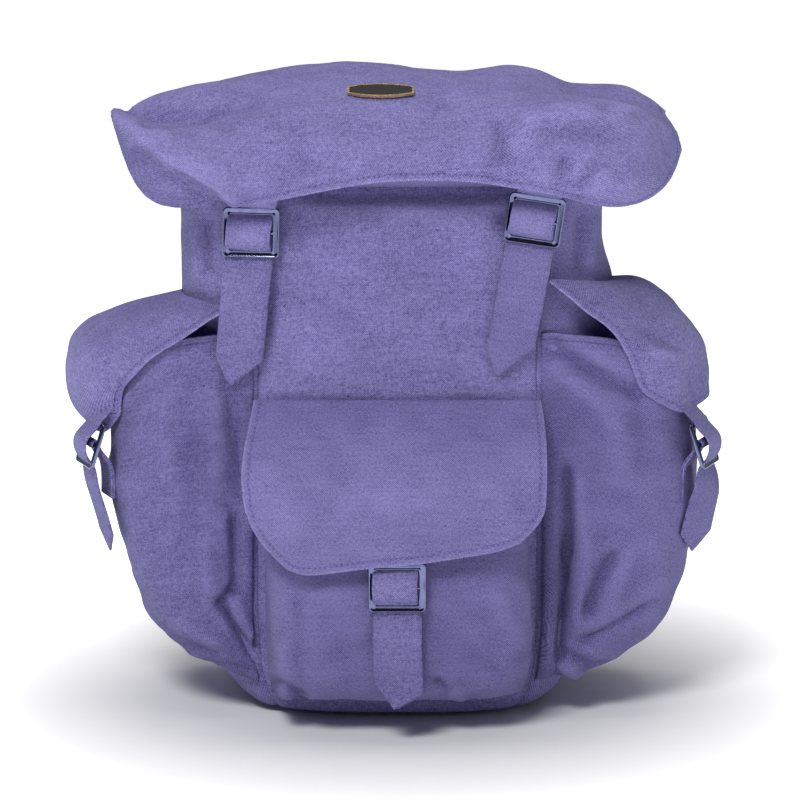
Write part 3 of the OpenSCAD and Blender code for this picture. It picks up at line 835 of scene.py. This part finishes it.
def box_stitch(grid, corners):
    """A sewn box where a strap is fixed behind the cloth, through corners as the camera sees them."""
    place, facing = seen(grid), normals(grid)[..., 1] < 0
    lines = []
    for a, b in zip(corners, corners[1:] + corners[:1]):
        line = []
        for share in np.linspace(0, 1, 12):
            off = np.linalg.norm(place - (np.array(a) + (np.array(b) - a) * share), axis=2)
            off = np.where(facing, off, 1e6)
            i, j = np.unravel_index(off.argsort(axis=None)[:6], off.shape)
            near = 1 / (off[i, j] + 0.3) ** 2
            line.append((grid[i, j] * near[:, None]).sum(axis=0) / near.sum())
        lines.append(np.array(line))
    return lines


# ---------- pouches ----------

OUT = np.array([-1, -0.2, 0]) / math.hypot(1, 0.2)  # the way that the left pocket stands out


def pouch(start, end, low, high, depth, out, shares, rows, cols, mouth=None):
    """The sack's own surface pushed outwards. mouth is a rise of the upper edge by share across."""
    s, k = 0.5 - 0.5 * np.cos(np.pi * np.linspace(0, 1, 400)), np.linspace(0, 1, 150)
    bearing = start + (end - start) * s
    top = high + (mouth(s) if mouth else np.zeros(len(s)))
    z = low + (top - low)[None, :] * k[:, None]
    belly = np.maximum(0, 1 - np.abs(2 * s - 1) ** 12) ** 0.5
    push = 2.8 + (depth - 2.8) * belly[None, :] * np.interp(k, *np.array(shares).T)[:, None]
    return even(sack_at(bearing[None, :], z, 0.4) + np.array(out) * push[..., None], rows, cols)


FRONT_SHARES = [[0, 0], [0.03, 0.56], [0.08, 0.8], [0.16, 0.93], [0.5, 1], [1, 0.64]]
LEFT_SHARES = [[0, 0], [0.03, 0.3], [0.08, 0.44], [0.16, 0.6], [0.3, 0.78], [0.6, 0.98], [1, 0.88]]
RIGHT_SHARES = [[0, 0], [0.03, 0.34], [0.08, 0.56], [0.16, 0.8], [0.3, 0.98], [0.6, 1.06], [1, 0.9]]


def soft_pouch(grid, seed, strokes, lump=1.0):
    """A pouch with soft corners, crumpled inside its seams and folded."""
    grid = blur(grid, 6)
    weave = weave_of(grid)
    border = edge_distance(grid, "LRB")
    relief = crumple(weave, seed, 60, lump) + crumple(weave, seed + 50, 22, 0.32 * lump)
    grid = grid + normals(grid) * (relief * smooth(border / 22))[..., None]
    return blur(fold(grid, strokes), 1)


def side_mouth(s):
    """The mouth of a side pocket dips in its middle and rises towards the front."""
    return 9 * s ** 3 - 12 * np.sin(np.pi * s)


def make_pockets():
    high = box("front_pocket")[1][2]
    front = pouch(221.5, 318.5, 17, high, 47, [0, -1, 0], FRONT_SHARES, 84, 120)
    front = soft_pouch(front, 71, FRONT_POCKET_FOLDS, 0.8)
    high = box("left_pocket")[1][2]
    left = pouch(152, FRONT_SEAM, 25, high, 50, OUT, LEFT_SHARES, 110, 130, side_mouth)
    left = soft_pouch(left, 73, LEFT_POCKET_FOLDS)
    right = pouch(152, FRONT_SEAM, 23, high, 52, OUT, RIGHT_SHARES, 110, 130, side_mouth)
    right = soft_pouch(mirror(right), 79, RIGHT_POCKET_FOLDS)
    wide_hem = 11
    for seed, side, grid, inset in (
        (8, "front", front, HEM), (9, "left", left, wide_hem), (10, "right", right, wide_hem),
    ):
        # The pockets take the darker canvas, which is painted shade.
        cloth(f"{side}_pocket_cloth", grid, replaces=[f"{side}_pocket"], sides="T", seed=seed, inset=inset,
              material="pocket_canvas_painted_shade")
    return front, left, right


# As the camera sees them: across, up, across, up, width, height.
FRONT_POCKET_FOLDS = [
    (-74, -152, -74, -192, 4, 2.6), (-66, -120, -64, -190, 5, -2.0), (-82, -178, -60, -190, 3, -3.4),
    (-76, -186, -56, -194, 3, 2.6), (22, -178, 32, -188, 3, -4.0), (26, -184, 42, -190, 3, 2.6),
    (60, -120, 78, -160, 8, 2.2), (40, -160, 70, -178, 7, -2.2), (-50, -120, -20, -150, 12, 1.8),
    (84, -110, 82, -180, 5, 2.2), (-40, -150, -30, -186, 8, -1.4), (50, -130, 60, -180, 9, -1.4),
]
LEFT_POCKET_FOLDS = [
    (-105, -72, -104, -122, 3.5, -7.0), (-104, -118, -117, -131, 3, -6.0), (-114, -128, -90, -168, 3, -7.5),
    (-98, -70, -97, -122, 5, 3.5), (-104, -132, -82, -166, 4, 4.5), (-124, -84, -120, -126, 7, 3.4),
    (-150, -148, -114, -164, 4, -4.0), (-146, -141, -110, -156, 5, 3.6), (-134, -166, -92, -172, 3, -3.0),
    (-130, -174, -88, -178, 2.5, 2.6), (-112, 20, -99, -62, 8, -4.0), (-150, 10, -146, -60, 12, 2.4),
    (-130, -20, -134, -90, 10, -2.2), (-118, 14, -112, -56, 8, 2.0), (-88, -20, -90, -90, 7, 1.8),
]
RIGHT_POCKET_FOLDS = [
    (105, -42, 107, -100, 3.2, -9.0), (107, -90, 100, -172, 3.2, -10.0), (117, -84, 113, -152, 6, 5.0),
    (96, -60, 94, -160, 4, 3.0), (137, -96, 118, -140, 5, -5.5), (147, -92, 129, -136, 6, 4.0),
    (93, 36, 124, 17, 6, -6.0), (120, 19, 156, 2, 6, -6.0), (96, 23, 132, -6, 8, 3.8),
    (104, 42, 132, 27, 6, 3.0), (162, -126, 112, -156, 5, -4.5), (166, -118, 116, -147, 6, 3.6),
    (103, -160, 130, -173, 2.6, -4.0),
    (98, -167, 122, -180, 3, 4.0), (112, -174, 136, -167, 3, -3.4), (150, 0, 156, -50, 9, -3.0),
    (134, -6, 140, -60, 10, 2.2),
]

# ---------- flaps ----------

FRONT_FLAP = [
    [[-66, -130.5, 109], [-62, -131.5, 107.5], [-39.8, -133, 107.7], [-10.3, -134, 111.6],
     [19.2, -134, 114.7], [36.9, -133, 117.2], [60.5, -132, 121], [73, -130.5, 125.4]],
    [[-83, -127, 128], [-62, -130, 126], [-10, -131, 128], [40, -131, 131], [70, -129.5, 135],
     [84, -127, 137]],
    [[-91, -123, 152], [-60, -127, 152], [0, -128, 152], [60, -127, 152], [88, -122.5, 152]],
    [[-91.5, -113, 172], [-60, -117, 171], [0, -118, 171], [60, -117, 171], [88.5, -113, 172]],
    [[-89, -97, 187], [-60, -101, 186.5], [0, -102, 186], [60, -101, 186.5], [88, -97, 187]],
    [[-86.5, -79, 202], [-60, -79.5, 202], [0, -79.6, 202], [60, -79.5, 202], [86.5, -79, 202]],
]

LEFT_FLAP = [
    [[-192, -22, 178], [-190, -34, 177.5], [-182, -48, 176.5], [-176, -54, 181.5], [-169.5, -59, 190]],
    [[-207, 12, 193], [-206, -14, 192], [-198, -38, 191], [-182, -54, 195], [-168, -62, 204]],
    [[-209, 30, 208], [-209.5, -10, 212], [-204, -36, 213], [-186, -58, 215], [-160, -71, 215.5]],
    [[-206, 36, 222], [-206, -4, 229], [-196, -36, 230], [-176, -60, 229], [-149.6, -76, 227]],
    [[-192, 38, 234], [-190, 0, 243], [-178, -34, 243.5], [-158, -62, 241], [-133, -81, 238]],
    [[-166, 36, 244], [-165, 0, 252], [-156, -34, 253], [-140, -64, 252], [-116, -84, 250]],
    [[-134, 36, 252], [-135, 0, 259.5], [-134, -30, 262], [-126.5, -57, 262], [-101, -77, 258]],
]

RIGHT_FLAP = [
    [[156, -65, 199], [163, -59, 194], [172, -51, 190], [184, -40, 190], [196, -26, 195], [197, -10, 198]],
    [[148, -71, 209], [162, -62, 206], [180, -48, 203], [194, -28, 205], [196, 0, 206]],
    [[141, -77, 225], [160, -66, 224], [180, -48, 222], [192, -26, 220], [194, 20, 218]],
    [[129, -84, 245], [150, -70, 243], [172, -48, 241], [187, -22, 236], [189, 26, 232]],
    [[113, -86, 257], [136, -72, 257], [158, -46, 256], [172, -16, 253], [174, 30, 246]],
    [[101, -84, 268], [122, -70, 269], [144, -40, 268.5], [154, -8, 267], [152, 32, 256]],
    [[89.5, -77, 275.5], [110, -71.5, 274], [130, -41, 270], [135, -6, 268.5], [134, 36, 260]],
]


def soft_flap(rails, rows, cols, seed, under, strokes=(), lump=0.8):
    """A flap through its rails, with folds and a puckered hem, clear of the pocket under it."""
    grid = loft(rails, rows, cols)
    weave = weave_of(grid)
    edge = edge_distance(grid, "LBR")
    root = smooth((weave[-1:, :, 1] - weave[..., 1]) / 18)
    relief = (crumple(weave, seed, 55, lump) + crumple(weave, seed + 50, 20, 0.2)) * root
    relief += 0.14 * np.sin(weave[..., 0] / 1.5) * np.exp(-edge / 5) * root
    grid = fold(grid + normals(grid) * relief[..., None], strokes)
    for _ in range(2):  # the blur brings the flap down again, so it starts higher
        grid = blur(rest_on(grid, under, CANVAS_T + 1.2), 2, whole=True)
    return rest_on(grid, under, CANVAS_T + 0.6)


FRONT_FLAP_FOLDS = [(-80, -60, -66, -90, 9, 1.4), (-40, -60, 30, -66, 12, 1.0), (70, -50, 78, -80, 7, -1.2)]
LEFT_FLAP_FOLDS = [(-182, 8, -184, -18, 3, 1.2), (-176, 6, -178, -14, 3, -1.2), (-200, 40, -150, 52, 9, -1.2),
                   (-196, 20, -188, -16, 6, 1.2)]
RIGHT_FLAP_FOLDS = [(128, 60, 168, 22, 8, 1.4), (150, 50, 186, 10, 9, -1.4), (164, 0, 172, 20, 4, -1.4),
                    (176, -2, 182, 18, 4, 1.2)]


def make_flaps(front_pocket, left_pocket, right_pocket):
    front = soft_flap(FRONT_FLAP, 50, 90, 81, front_pocket, FRONT_FLAP_FOLDS, lump=0.6)
    hinge = pivot("front_flap_open")
    cloth("front_flap_cloth", front, on=("root", "front_flap", hinge + [0, 1, 3], hinge + [0, -9, -8]),
          replaces=["front_pocket_flap"], sides="LBR", seed=12)
    for side, rails, out, seed, pocket, strokes in (
        ("left", LEFT_FLAP, OUT, 83, left_pocket, LEFT_FLAP_FOLDS),
        ("right", RIGHT_FLAP, OUT * [-1, 1, 1], 87, right_pocket, RIGHT_FLAP_FOLDS),
    ):
        grid = soft_flap(rails, 58, 66, seed, pocket, strokes)
        hinge = pivot(f"{side}_flap_open")
        start = hinge + out * 1
        cloth(f"{side}_flap_cloth", grid, on=("root", f"{side}_flap", start, start + out * 20 - [0, 0, 3]),
              replaces=[f"{side}_pocket_flap"], sides="LBR", seed=seed)


# ---------- closures ----------
# A closure is drawn about the bar of its buckle: X along the bar, Z up the strap, -Y outwards.

def place_at(origin, yaw=0.0, tilt=0.0, turn=0.0):
    """A function that takes local points to the frame: turned sideways, tilted back, then yawed."""
    rotation = Matrix.Rotation(math.radians(yaw), 3, "Z") @ Matrix.Rotation(math.radians(tilt), 3, "X")
    rotation = np.array(rotation @ Matrix.Rotation(math.radians(turn), 3, "Y"))
    return lambda points: np.asarray(points, float) @ rotation.T + origin


BUCKLE_W, BUCKLE_H = 34.0, 30.0
BAR_R = 1.4
RIM = 4.2  # width of the pressed frame
# Section of the frame: distance in from its outer edge, and depth.
BUCKLE_SECTION = [
    (0, 0.9), (0, -0.75), (0.25, -1.1), (0.6, -1.2), (0.95, -1.05), (1.5, -0.72), (3.0, -0.62),
    (3.35, -0.9), (3.7, -0.98), (4.05, -0.8), (RIM, -0.45), (RIM, 0.9), (3.9, 1.2), (0.3, 1.2),
]
CORNER_STEPS = 7
BAR_STEPS = 18


def rounded_rectangle(inset, y):
    """Points round the buckle at a distance in from its outer edge."""
    w, h, r = BUCKLE_W - 2 * inset, BUCKLE_H - 2 * inset, 2.6 - 1.4 * inset / RIM
    points = []
    for quarter, (x, z) in enumerate([(1, -1), (1, 1), (-1, 1), (-1, -1)]):
        for k in range(CORNER_STEPS):
            t = math.radians(-90 + 90 * (quarter + k / (CORNER_STEPS - 1)))
            points.append((x * (w / 2 - r) + r * math.cos(t), y, z * (h / 2 - r) + r * math.sin(t)))
    return points


def buckle(name, node, body, place):
    """A pressed rectangular frame with a round bar across its middle."""
    points = [point for inset, y in BUCKLE_SECTION for point in rounded_rectangle(inset, y)]
    first, around = len(points), 4 * CORNER_STEPS
    ring = quads(len(BUCKLE_SECTION) + 1, around, wrap=True)
    faces = [[k % first for k in (a, d, c, b)] for a, b, c, d in ring]
    for x in (3.6 - BUCKLE_W / 2, BUCKLE_W / 2 - 3.6):
        turns = [2 * math.pi * k / BAR_STEPS for k in range(BAR_STEPS)]
        points += [(x, BAR_R * math.cos(t), BAR_R * math.sin(t)) for t in turns]
    faces += [[first + k for k in (a, d, c, b)] for a, b, c, d in quads(2, BAR_STEPS, wrap=True)]
    faces.append([first + k for k in range(BAR_STEPS)])
    faces.append([first + BAR_STEPS + k for k in reversed(range(BAR_STEPS))])
    piece = new_object(name, place(points), faces, MATERIALS["buckle_steel"])
    piece.data.set_sharp_from_angle(angle=math.radians(38))
    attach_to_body(piece, body)
    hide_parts(node)
    return piece


def strip(place, path, wide, tip=None, across=(1, 0, 0), cols=9, step=2.2, thick=1.7, lift=0.35,
          widths=((0, 1), (1, 1)), twist=((0, 0), (1, 0))):
    """A strap along a path from its upper end to its lower end, as a grid.

    tip is (where the point is across, cut on the left, cut on the right) for a pointed end. widths are
    (distance along it, share of its width), and twist turns it about the vertical by (distance, degrees).
    """
    fine = curve(path, 240)
    along = lengths(fine)
    s = np.linspace(-1, 1, cols)
    cut = np.zeros(cols)
    if tip:
        point, left, right = tip
        cut = np.where(s < point, left * (point - s) / (point + 1), right * (s - point) / (1 - point))
    share = np.linspace(0, 1, int(along[-1] / step) + 2)
    where = share[:, None] * (along[-1] - cut)[None, :]
    spine, heading = (
        np.stack([np.interp(where, along, values[:, k]) for k in range(3)], axis=-1)
        for values in (fine, np.gradient(fine, axis=0))
    )
    turn = np.radians(np.interp(where, *np.array(twist, float).T))[..., None]
    across = np.array(across, float)
    across = across * np.cos(turn) + np.cross([0, 0, 1], across) * np.sin(turn)
    out = np.cross(heading, across)
    out /= np.linalg.norm(out, axis=2, keepdims=True)
    scale = np.interp(where, *np.array(widths, float).T)
    grid = spine + across * (s[None, :] * scale * wide / 2)[..., None]
    grid = grid + out * (thick / 2 + lift * (1 - s[None, :] ** 2))[..., None]
    return place(grid)[::-1]


def strap_sheet(name, grid, on, node, seed, sides="LBR", thick=1.7, material="strap_canvas"):
    """A strap with stitched edges."""
    piece = cloth_mesh(name, grid, thick, MATERIALS[material], seed=seed)
    attach(piece, on)
    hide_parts(node)
    sewn = []
    if sides:
        lines = hem_lines(grid, sides, 3.2)
        sewn = [thread(name + "_stitches", lines, grid, on, 2.0, 1.0, 0.2)]
    measured_sheet(grid)


# A strap goes behind the top of its frame, over the bar and the frame's left side, and behind the bottom.
WINDOW = [
    [-0.4, 2.5, 13], [-1.2, -1.9, 8], [-1.6, -4.6, 3], [-1.6, -4.7, -2.5], [-1.2, -1.9, -8], [-0.4, 2.5, -13],
]
TAB_T = 1.2


def tab_path(leg):
    """A doubled tab: up one side of its leg, round the bar, and back down the other side."""
    leg = np.array(leg, float)
    r = BAR_R + 0.35 + TAB_T / 2
    loop = [[0, -r * math.cos(t), r * math.sin(t)] for t in np.radians(np.linspace(-60, 200, 9))]
    outer = [[p[0], p[1] - TAB_T * 0.55, p[2]] for p in leg[::-1]]
    inner = [[p[0], p[1] + TAB_T * 0.55, p[2]] for p in leg]
    return outer + loop + inner


def make_tab(name, node, place, leg, seed, body="root", flip=1):
    grid = strip(place, tab_path(leg), 22.0, thick=TAB_T, lift=0.0, step=1.0, cols=7)
    strap_sheet(name, mirrored_if(grid, flip), body, node, seed, sides="", thick=TAB_T)


def make_closure(short, long, owner, frame_place, tab_place, grid, bend, leg, seeds):
    """A buckle, the strap that passes through it from its owner, and the tab that holds it.

    short begins the names of bodies and long the names of nodes. The two points of bend, given from the hinge
    where the strap leaves its owner, are not used, nor is the owner.
    """
    buckle(f"{long}_frame", f"{long}_buckle", f"{short}_buckle", frame_place)
    hinge = pivot(f"{short}_strap_swing")
    on = (owner, f"{short}_strap", hinge + bend[0], hinge + bend[1])
    strap_sheet(f"{short}_strap_cloth", grid, on, f"{long}_strap", seeds[0])
    make_tab(f"{long}_tab_cloth", f"{long}_tab", tab_place, leg, seeds[1])


def make_lid_closures():
    head = [[0, -12.3, 34], [0, -12.6, 24], [0, -10.5, 19.5], [0, -3.5, 16.8]]
    tail = [[0, 1.9, -17.5], [0, -0.6, -24], [0, -2.2, -34], [0, -2.4, -46], [0, 0, -60]]
    widths = [[0, 1], [12, 1], [24, 0.91], [50, 0.91], [62, 1], [200, 1]]
    leg = [[0, 1.6, -2.8], [0, 4.6, -9], [0, 5.4, -18], [0, 5.4, -38]]
    for side, k, buckle_turn, strap_turn, tip, ends in (
        ("left", 0, 1.5, 6, (-0.3, 16, 17), (-76, -94)),
        ("right", 1, 8.5, 10, (-0.4, 17, 22), (-78, -98)),
    ):
        origin = pivot(f"{side}_lid_buckle_swing")
        place = place_at(origin, turn=buckle_turn)
        path = head + WINDOW + tail + [[0, 2, ends[0]], [0, 2.6, ends[1]]]
        grid = strip(place_at(origin, turn=strap_turn), path, 28.0, tip, widths=widths)
        bend = ([0, 0, 7], [0, 6, -5])
        make_closure(f"{side}_lid", f"{side}_lid", "lid", place, place, grid, bend, leg, (13 + k, 15 + k))


def make_front_closure():
    place = place_at(pivot("front_buckle_swing"))
    head = [[0, 1.6, 30], [0, 1.2, 24], [0, 1.6, 19], [0, 2.4, 16]]
    tail = [[0, 2.4, -18], [0, 1.4, -25], [0, 0.6, -38], [0.6, 1.8, -52], [1, 3, -66], [1.2, 2.6, -76]]
    widths = [[0, 1], [8, 1], [18, 0.91], [44, 0.91], [56, 1], [200, 1]]
    leg = [[0, 1.6, -2.8], [0, 4.4, -9], [0, 5.6, -18], [0, 6, -36]]
    grid = strip(place, head + WINDOW + tail, 28.0, (-0.2, 17, 10), widths=widths)
    bend = ([0, 0, 7], [0, 2, -5])
    make_closure("front", "front_pocket", "front_flap", place, place, grid, bend, leg, (17, 18))


SIDE_YAW, SIDE_TILT = -67, 18


def make_side_closures():
    head = [[0, 13, 27], [0, 10.5, 22], [0, 7, 18], [0, 4, 15]]
    window = [[0, 2.2, 12.5], [0, -2.0, 8], [0, -6.4, 3], [0, -7.2, -3], [0, -5.0, -9], [0, -2.0, -13.5]]
    tails = [
        [[0, -1, -18], [0, 0, -25], [0, 3, -36], [0, 7.5, -52], [0, 11.5, -69]],
        [[0, -2, -18], [0, -2.4, -25], [0, -0.6, -36], [0, 3, -52], [0, 6.4, -69]],
    ]
    widths = [[0, 0.8], [8, 0.84], [20, 0.88], [46, 0.88], [56, 1], [200, 1]]
    leg = [[0, 2, -2.6], [0, 5.5, -7.5], [0, 8.6, -12], [0, 10.3, -19], [0, 10.3, -34]]
    for side, flip, k in (("left", 1, 0), ("right", -1, 1)):
        origin = pivot(f"{side}_buckle_swing")
        place = place_at(origin, yaw=SIDE_YAW * flip)
        tilted = place_at(origin, yaw=SIDE_YAW * flip, tilt=-SIDE_TILT)
        twist = [[0, 0], [46, 0], [70, -24 * k], [120, -30 * k]]
        grid = strip(place, head + window + tails[k], 26.0, (0.0, 12, 12), widths=widths, twist=twist)
        bend = ([0, 0, 8], [0, 0, -4])
        make_closure(side, f"{side}_pocket", f"{side}_flap", tilted, place, grid, bend, leg, (19 + k, 21 + k))


# ---------- harness ----------

SWING_TOP, SWING_LOW = np.array([-50, 90, 302.0]), np.array([-107, 84, 58.0])
SWING_AXIS = (SWING_LOW - SWING_TOP) / np.linalg.norm(SWING_LOW - SWING_TOP)
SWING_ACROSS = np.cross([0, 1, 0], -SWING_AXIS)
SWING_ACROSS /= np.linalg.norm(SWING_ACROSS)
ADJUSTER = np.array([-89.5, 112, 152])
ADJUSTER_TURN = [("Z", 180), ("Y", 12), ("X", 8)]
# Shares of the width along a pad.
PAD_WIDTHS = [[0, 0.72], [0.08, 0.84], [0.22, 1], [0.8, 1], [0.93, 0.84], [1, 0.68]]


def as_is(points):
    return np.asarray(points, float)


def at_adjuster(points):
    """Takes points about the bar of the left adjuster to the frame."""
    rotation = Matrix.Identity(3)
    for axis, turn in ADJUSTER_TURN:
        rotation = rotation @ Matrix.Rotation(math.radians(turn), 3, axis)
    return np.asarray(points, float) @ np.array(rotation).T + ADJUSTER


def mirrored_if(grid, flip):
    return grid if flip > 0 else mirror(grid)


def webbing(name, path, wide, thick, flip, on, node, seed):
    """A strip of webbing of the harness, whose outward side faces back."""
    grid = mirrored_if(strip(as_is, path, wide, across=-SWING_ACROSS, thick=thick), flip)
    strap_sheet(name, grid, on, node, seed, sides="LR", thick=thick, material="webbing")


def pad_grid(path, wide, thick, widths, cols=19):
    """The section of a padded strap at each step along it: a flattened round with sewn edges."""
    fine = curve(path, 90)
    along = lengths(fine)
    heading = np.gradient(fine, axis=0)
    heading /= np.linalg.norm(heading, axis=1, keepdims=True)
    across = np.broadcast_to(-SWING_ACROSS, fine.shape)
    out = np.cross(heading, across)
    scale = np.interp(along / along[-1], *np.array(widths).T)
    s = np.linspace(-1, 1, cols)
    ends = smooth(along / 10) * smooth((along[-1] - along) / 10)
    channel = 0.8 * np.abs(np.sin(along / 26 * np.pi)) ** 0.5 + 0.2
    bulge = np.maximum(0, 1 - np.abs(s) ** 2.6)[None, :] ** 0.6 * (0.35 + 0.65 * ends * channel)[:, None]
    half = 1.1 + (thick / 2 - 1.1) * bulge
    middle = fine[:, None] + across[:, None] * (s[None, :] * scale[:, None] * wide / 2)[..., None]
    return middle + out[:, None] * half[..., None], middle - out[:, None] * half[..., None]


def padded_strap(name, path, wide, thick, flip, body, node, seed):
    """Two faces of canvas sewn together at their edges over soft padding."""
    face, back = (mirrored_if(grid, flip)[::-1] for grid in pad_grid(path, wide, thick, PAD_WIDTHS))
    rows, cols = face.shape[:2]
    n = rows * cols
    ids = [i * cols + j for i, j in rim_of(face)[0]]
    rim = [[a, n + a, n + b, b] for a, b in zip(ids, ids[1:] + ids[:1])]
    weave = weave_of(face)
    relief = crumple(weave, seed, 18, 0.25) * smooth(edge_distance(face, "LR") / 6)
    face = face + normals(face) * relief[..., None]
    points = np.concatenate([face.reshape(-1, 3), back.reshape(-1, 3)])
    piece = new_object(name, points, two_faces(rows, cols) + rim, MATERIALS["canvas"])
    dress(piece, weave, edge_distance(face, "LR"), list(range(n)) * 2, seed)
    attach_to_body(piece, body)
    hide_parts(node)
    thread(name + "_stitches", hem_lines(face, "L") + hem_lines(face, "R"), face, body)


def make_yoke():
    """The patch on the back that the haul loop and the shoulder straps are sewn to."""
    low, high = box("yoke_patch")
    x = np.linspace(high[0], -high[0], 52)
    z = np.linspace(low[2], high[2], 14)
    grid = np.stack(np.broadcast_arrays(x[None, :], high[1], z[:, None]), axis=2).astype(float)
    weave = weave_of(grid)
    grid[..., 1] += 0.25 * np.sin(weave[..., 0] / 2) * np.exp(-edge_distance(grid, "LRBT") / 6)
    cloth("yoke_cloth", grid, replaces=["yoke_patch"], sides="LRBT", seed=24, thick=1.5,
          material="strap_canvas")
    path = [
        [0, 75.8, 325], [0, 76.2, 310], [0, 77.5, 290], [0, 81, 277], [0, 87, 271],
        [0, 93, 276], [0, 95, 288], [0, 91, 303], [0, 84, 316], [0, 79.2, 325],
    ]
    grid = strip(as_is, path, 24.0, across=(-1, 0, 0), thick=2.0, step=1.6, lift=0.0)
    strap_sheet("haul_loop_webbing", grid, "haul_loop", "haul_loop", 25, "LR", 2.0, "webbing")


def make_shoulder_straps():
    y = box("yoke_patch")[1][1]
    root = [[-45.5, y + 2.2, 326], [-46.5, y + 2.6, 320], [-48.8, 87.5, 309], SWING_TOP - SWING_AXIS * 4,
            SWING_TOP + SWING_AXIS * 9]
    pad = [SWING_TOP + SWING_AXIS * 0.8, SWING_TOP + SWING_AXIS * 6, [-54, 101, 284], [-60, 111, 262],
           [-67, 117, 234], [-75, 118.5, 206], [-82, 116.5, 184], [-85, 115, 174]]
    web = [[-86.5, 118.6, 164], [-90, 119.2, 151], [-93, 116, 138], [-98, 104, 112], [-103, 92, 84],
           SWING_LOW - SWING_AXIS * 8, SWING_LOW + SWING_AXIS * 1]
    anchor = [SWING_LOW - SWING_AXIS * 5, SWING_LOW + SWING_AXIS * 4, [-108, 78.5, 46], [-108.5, 73.5, 34]]
    leg = [[0, 1.6, 2.8], [0, 3.2, 8], [0, 2.8, 13], [0, 2.6, 20]]
    for side, flip, k in (("left", 1, 0), ("right", -1, 1)):
        body = f"{side}_shoulder_strap"
        sign = np.array([flip, 1, 1])
        top, low, axis = SWING_TOP * sign, SWING_LOW * sign, SWING_AXIS * sign
        on = ("root", body, top - axis * 10, top + axis * 3)
        webbing(f"{side}_root_webbing", root, 33, 1.8, flip, on, f"{side}_strap_root", 26 + k)
        padded_strap(f"{side}_pad_cloth", pad, 46, 9, flip, body, f"{side}_shoulder_pad", 28 + k)
        place = lambda points: at_adjuster(points) * sign
        slider = buckle(f"{side}_adjuster_frame", f"{side}_adjuster", body, place)
        if flip < 0:
            slider.data.flip_normals()
        make_tab(f"{side}_pad_tab_cloth", f"{side}_pad_tab", at_adjuster, leg, 30 + k, body, flip)
        webbing(f"{side}_lower_webbing_strap", web, 28, 1.6, flip, body, f"{side}_lower_webbing", 32 + k)
        on = ("root", body, low + axis * 6, low - axis * 4)
        webbing(f"{side}_anchor_webbing", anchor, 28, 1.8, flip, on, f"{side}_strap_anchor", 34 + k)


def paint_cad(node, material):
    """A better material on a CAD node that stays."""
    target = frame["nodes"][node]
    target.data.materials.clear()
    target.data.materials.append(MATERIALS[material])


# ---------- scene ----------

def make_floor():
    """A pale floor out to the horizon, lit up like a white sweep beyond the bag."""
    size = 60.0
    corners = [(-size, -size), (size, -size), (size, size), (-size, size)]
    mesh = bpy.data.meshes.new("floor")
    mesh.from_pydata([(x, y, -0.0006) for x, y in corners], [], [[0, 1, 2, 3]])
    material, tree, shader = blank("floor")
    place = add(tree, "ShaderNodeTexCoord").outputs["Object"]
    away = add(tree, "ShaderNodeVectorMath", {0: place}, operation="LENGTH").outputs["Value"]
    glow = carry(tree, away, 0.12, 0.42, 0.0, 0.85, interpolation_type="SMOOTHSTEP")
    tint = carry(tree, noise(tree, place, 40.0, 3.0, 0.6), 0.0, 1.0, 0.90, 0.95)
    tree.links.new(tint, shader.inputs["Base Color"])
    shader.inputs["Roughness"].default_value = 0.8
    shader.inputs["Emission Color"].default_value = (1, 1, 1, 1)
    tree.links.new(glow, shader.inputs["Emission Strength"])
    mesh.materials.append(material)
    in_scene("floor", mesh)


def aim_at(thing, place, aim):
    thing.location = place
    thing.rotation_mode = "QUATERNION"
    thing.rotation_quaternion = (Vector(aim) - Vector(place)).to_track_quat("-Z", "Y")


def area_light(name, place, aim, size, power):
    data = bpy.data.lights.new(name, "AREA")
    data.shape, data.size, data.size_y, data.energy = "RECTANGLE", *size, power
    aim_at(in_scene(name, data), place, aim)


def make_world():
    """White behind the bag and dim behind the camera, so that metal has something dark to reflect."""
    world = bpy.data.worlds.new("studio")
    bpy.context.scene.world = world
    world.use_nodes = True
    tree = world.node_tree
    ground = tree.nodes["Background"]
    ground.inputs["Color"].default_value = (1, 1, 1, 1)
    direction = add(tree, "ShaderNodeTexCoord").outputs["Generated"]
    split = add(tree, "ShaderNodeSeparateXYZ", {0: direction})
    strength = carry(tree, split.outputs["Y"], -0.8, 0.2, 0.04, 0.26)
    tree.links.new(strength, ground.inputs["Strength"])


def make_camera():
    """The photograph's view: a little above the horizon, straight on."""
    data = bpy.data.cameras.new("camera")
    data.lens, data.sensor_width = 113.04, 36
    aim = Vector(AIM * MM)
    camera = in_scene("camera", data)
    aim_at(camera, aim + Vector((0, -math.cos(TILT), math.sin(TILT))) * AWAY * MM, aim)
    bpy.context.scene.camera = camera


make_camera()
make_sack()
make_base()
make_collar()
make_lid()
make_flaps(*make_pockets())
make_lid_closures()
make_front_closure()
make_side_closures()
make_yoke()
make_shoulder_straps()
for node, material in (("throat_eyelets", "brass"), ("badge_rim", "brass"), ("badge_face", "badge_enamel")):
    paint_cad(node, material)
make_floor()
make_world()
area_light("key", (-0.6, -1.65, 1.95), (0, 0, 0.2), (0.8, 0.6), 36)
area_light("fill", (1.5, -1.7, 0.8), (0, 0, 0.2), (1.4, 1.2), 2)
area_light("top", (0.0, 0.1, 2.2), (0, 0, 0.1), (1.6, 1.2), 15)
bpy.context.scene.view_settings.view_transform = "Standard"
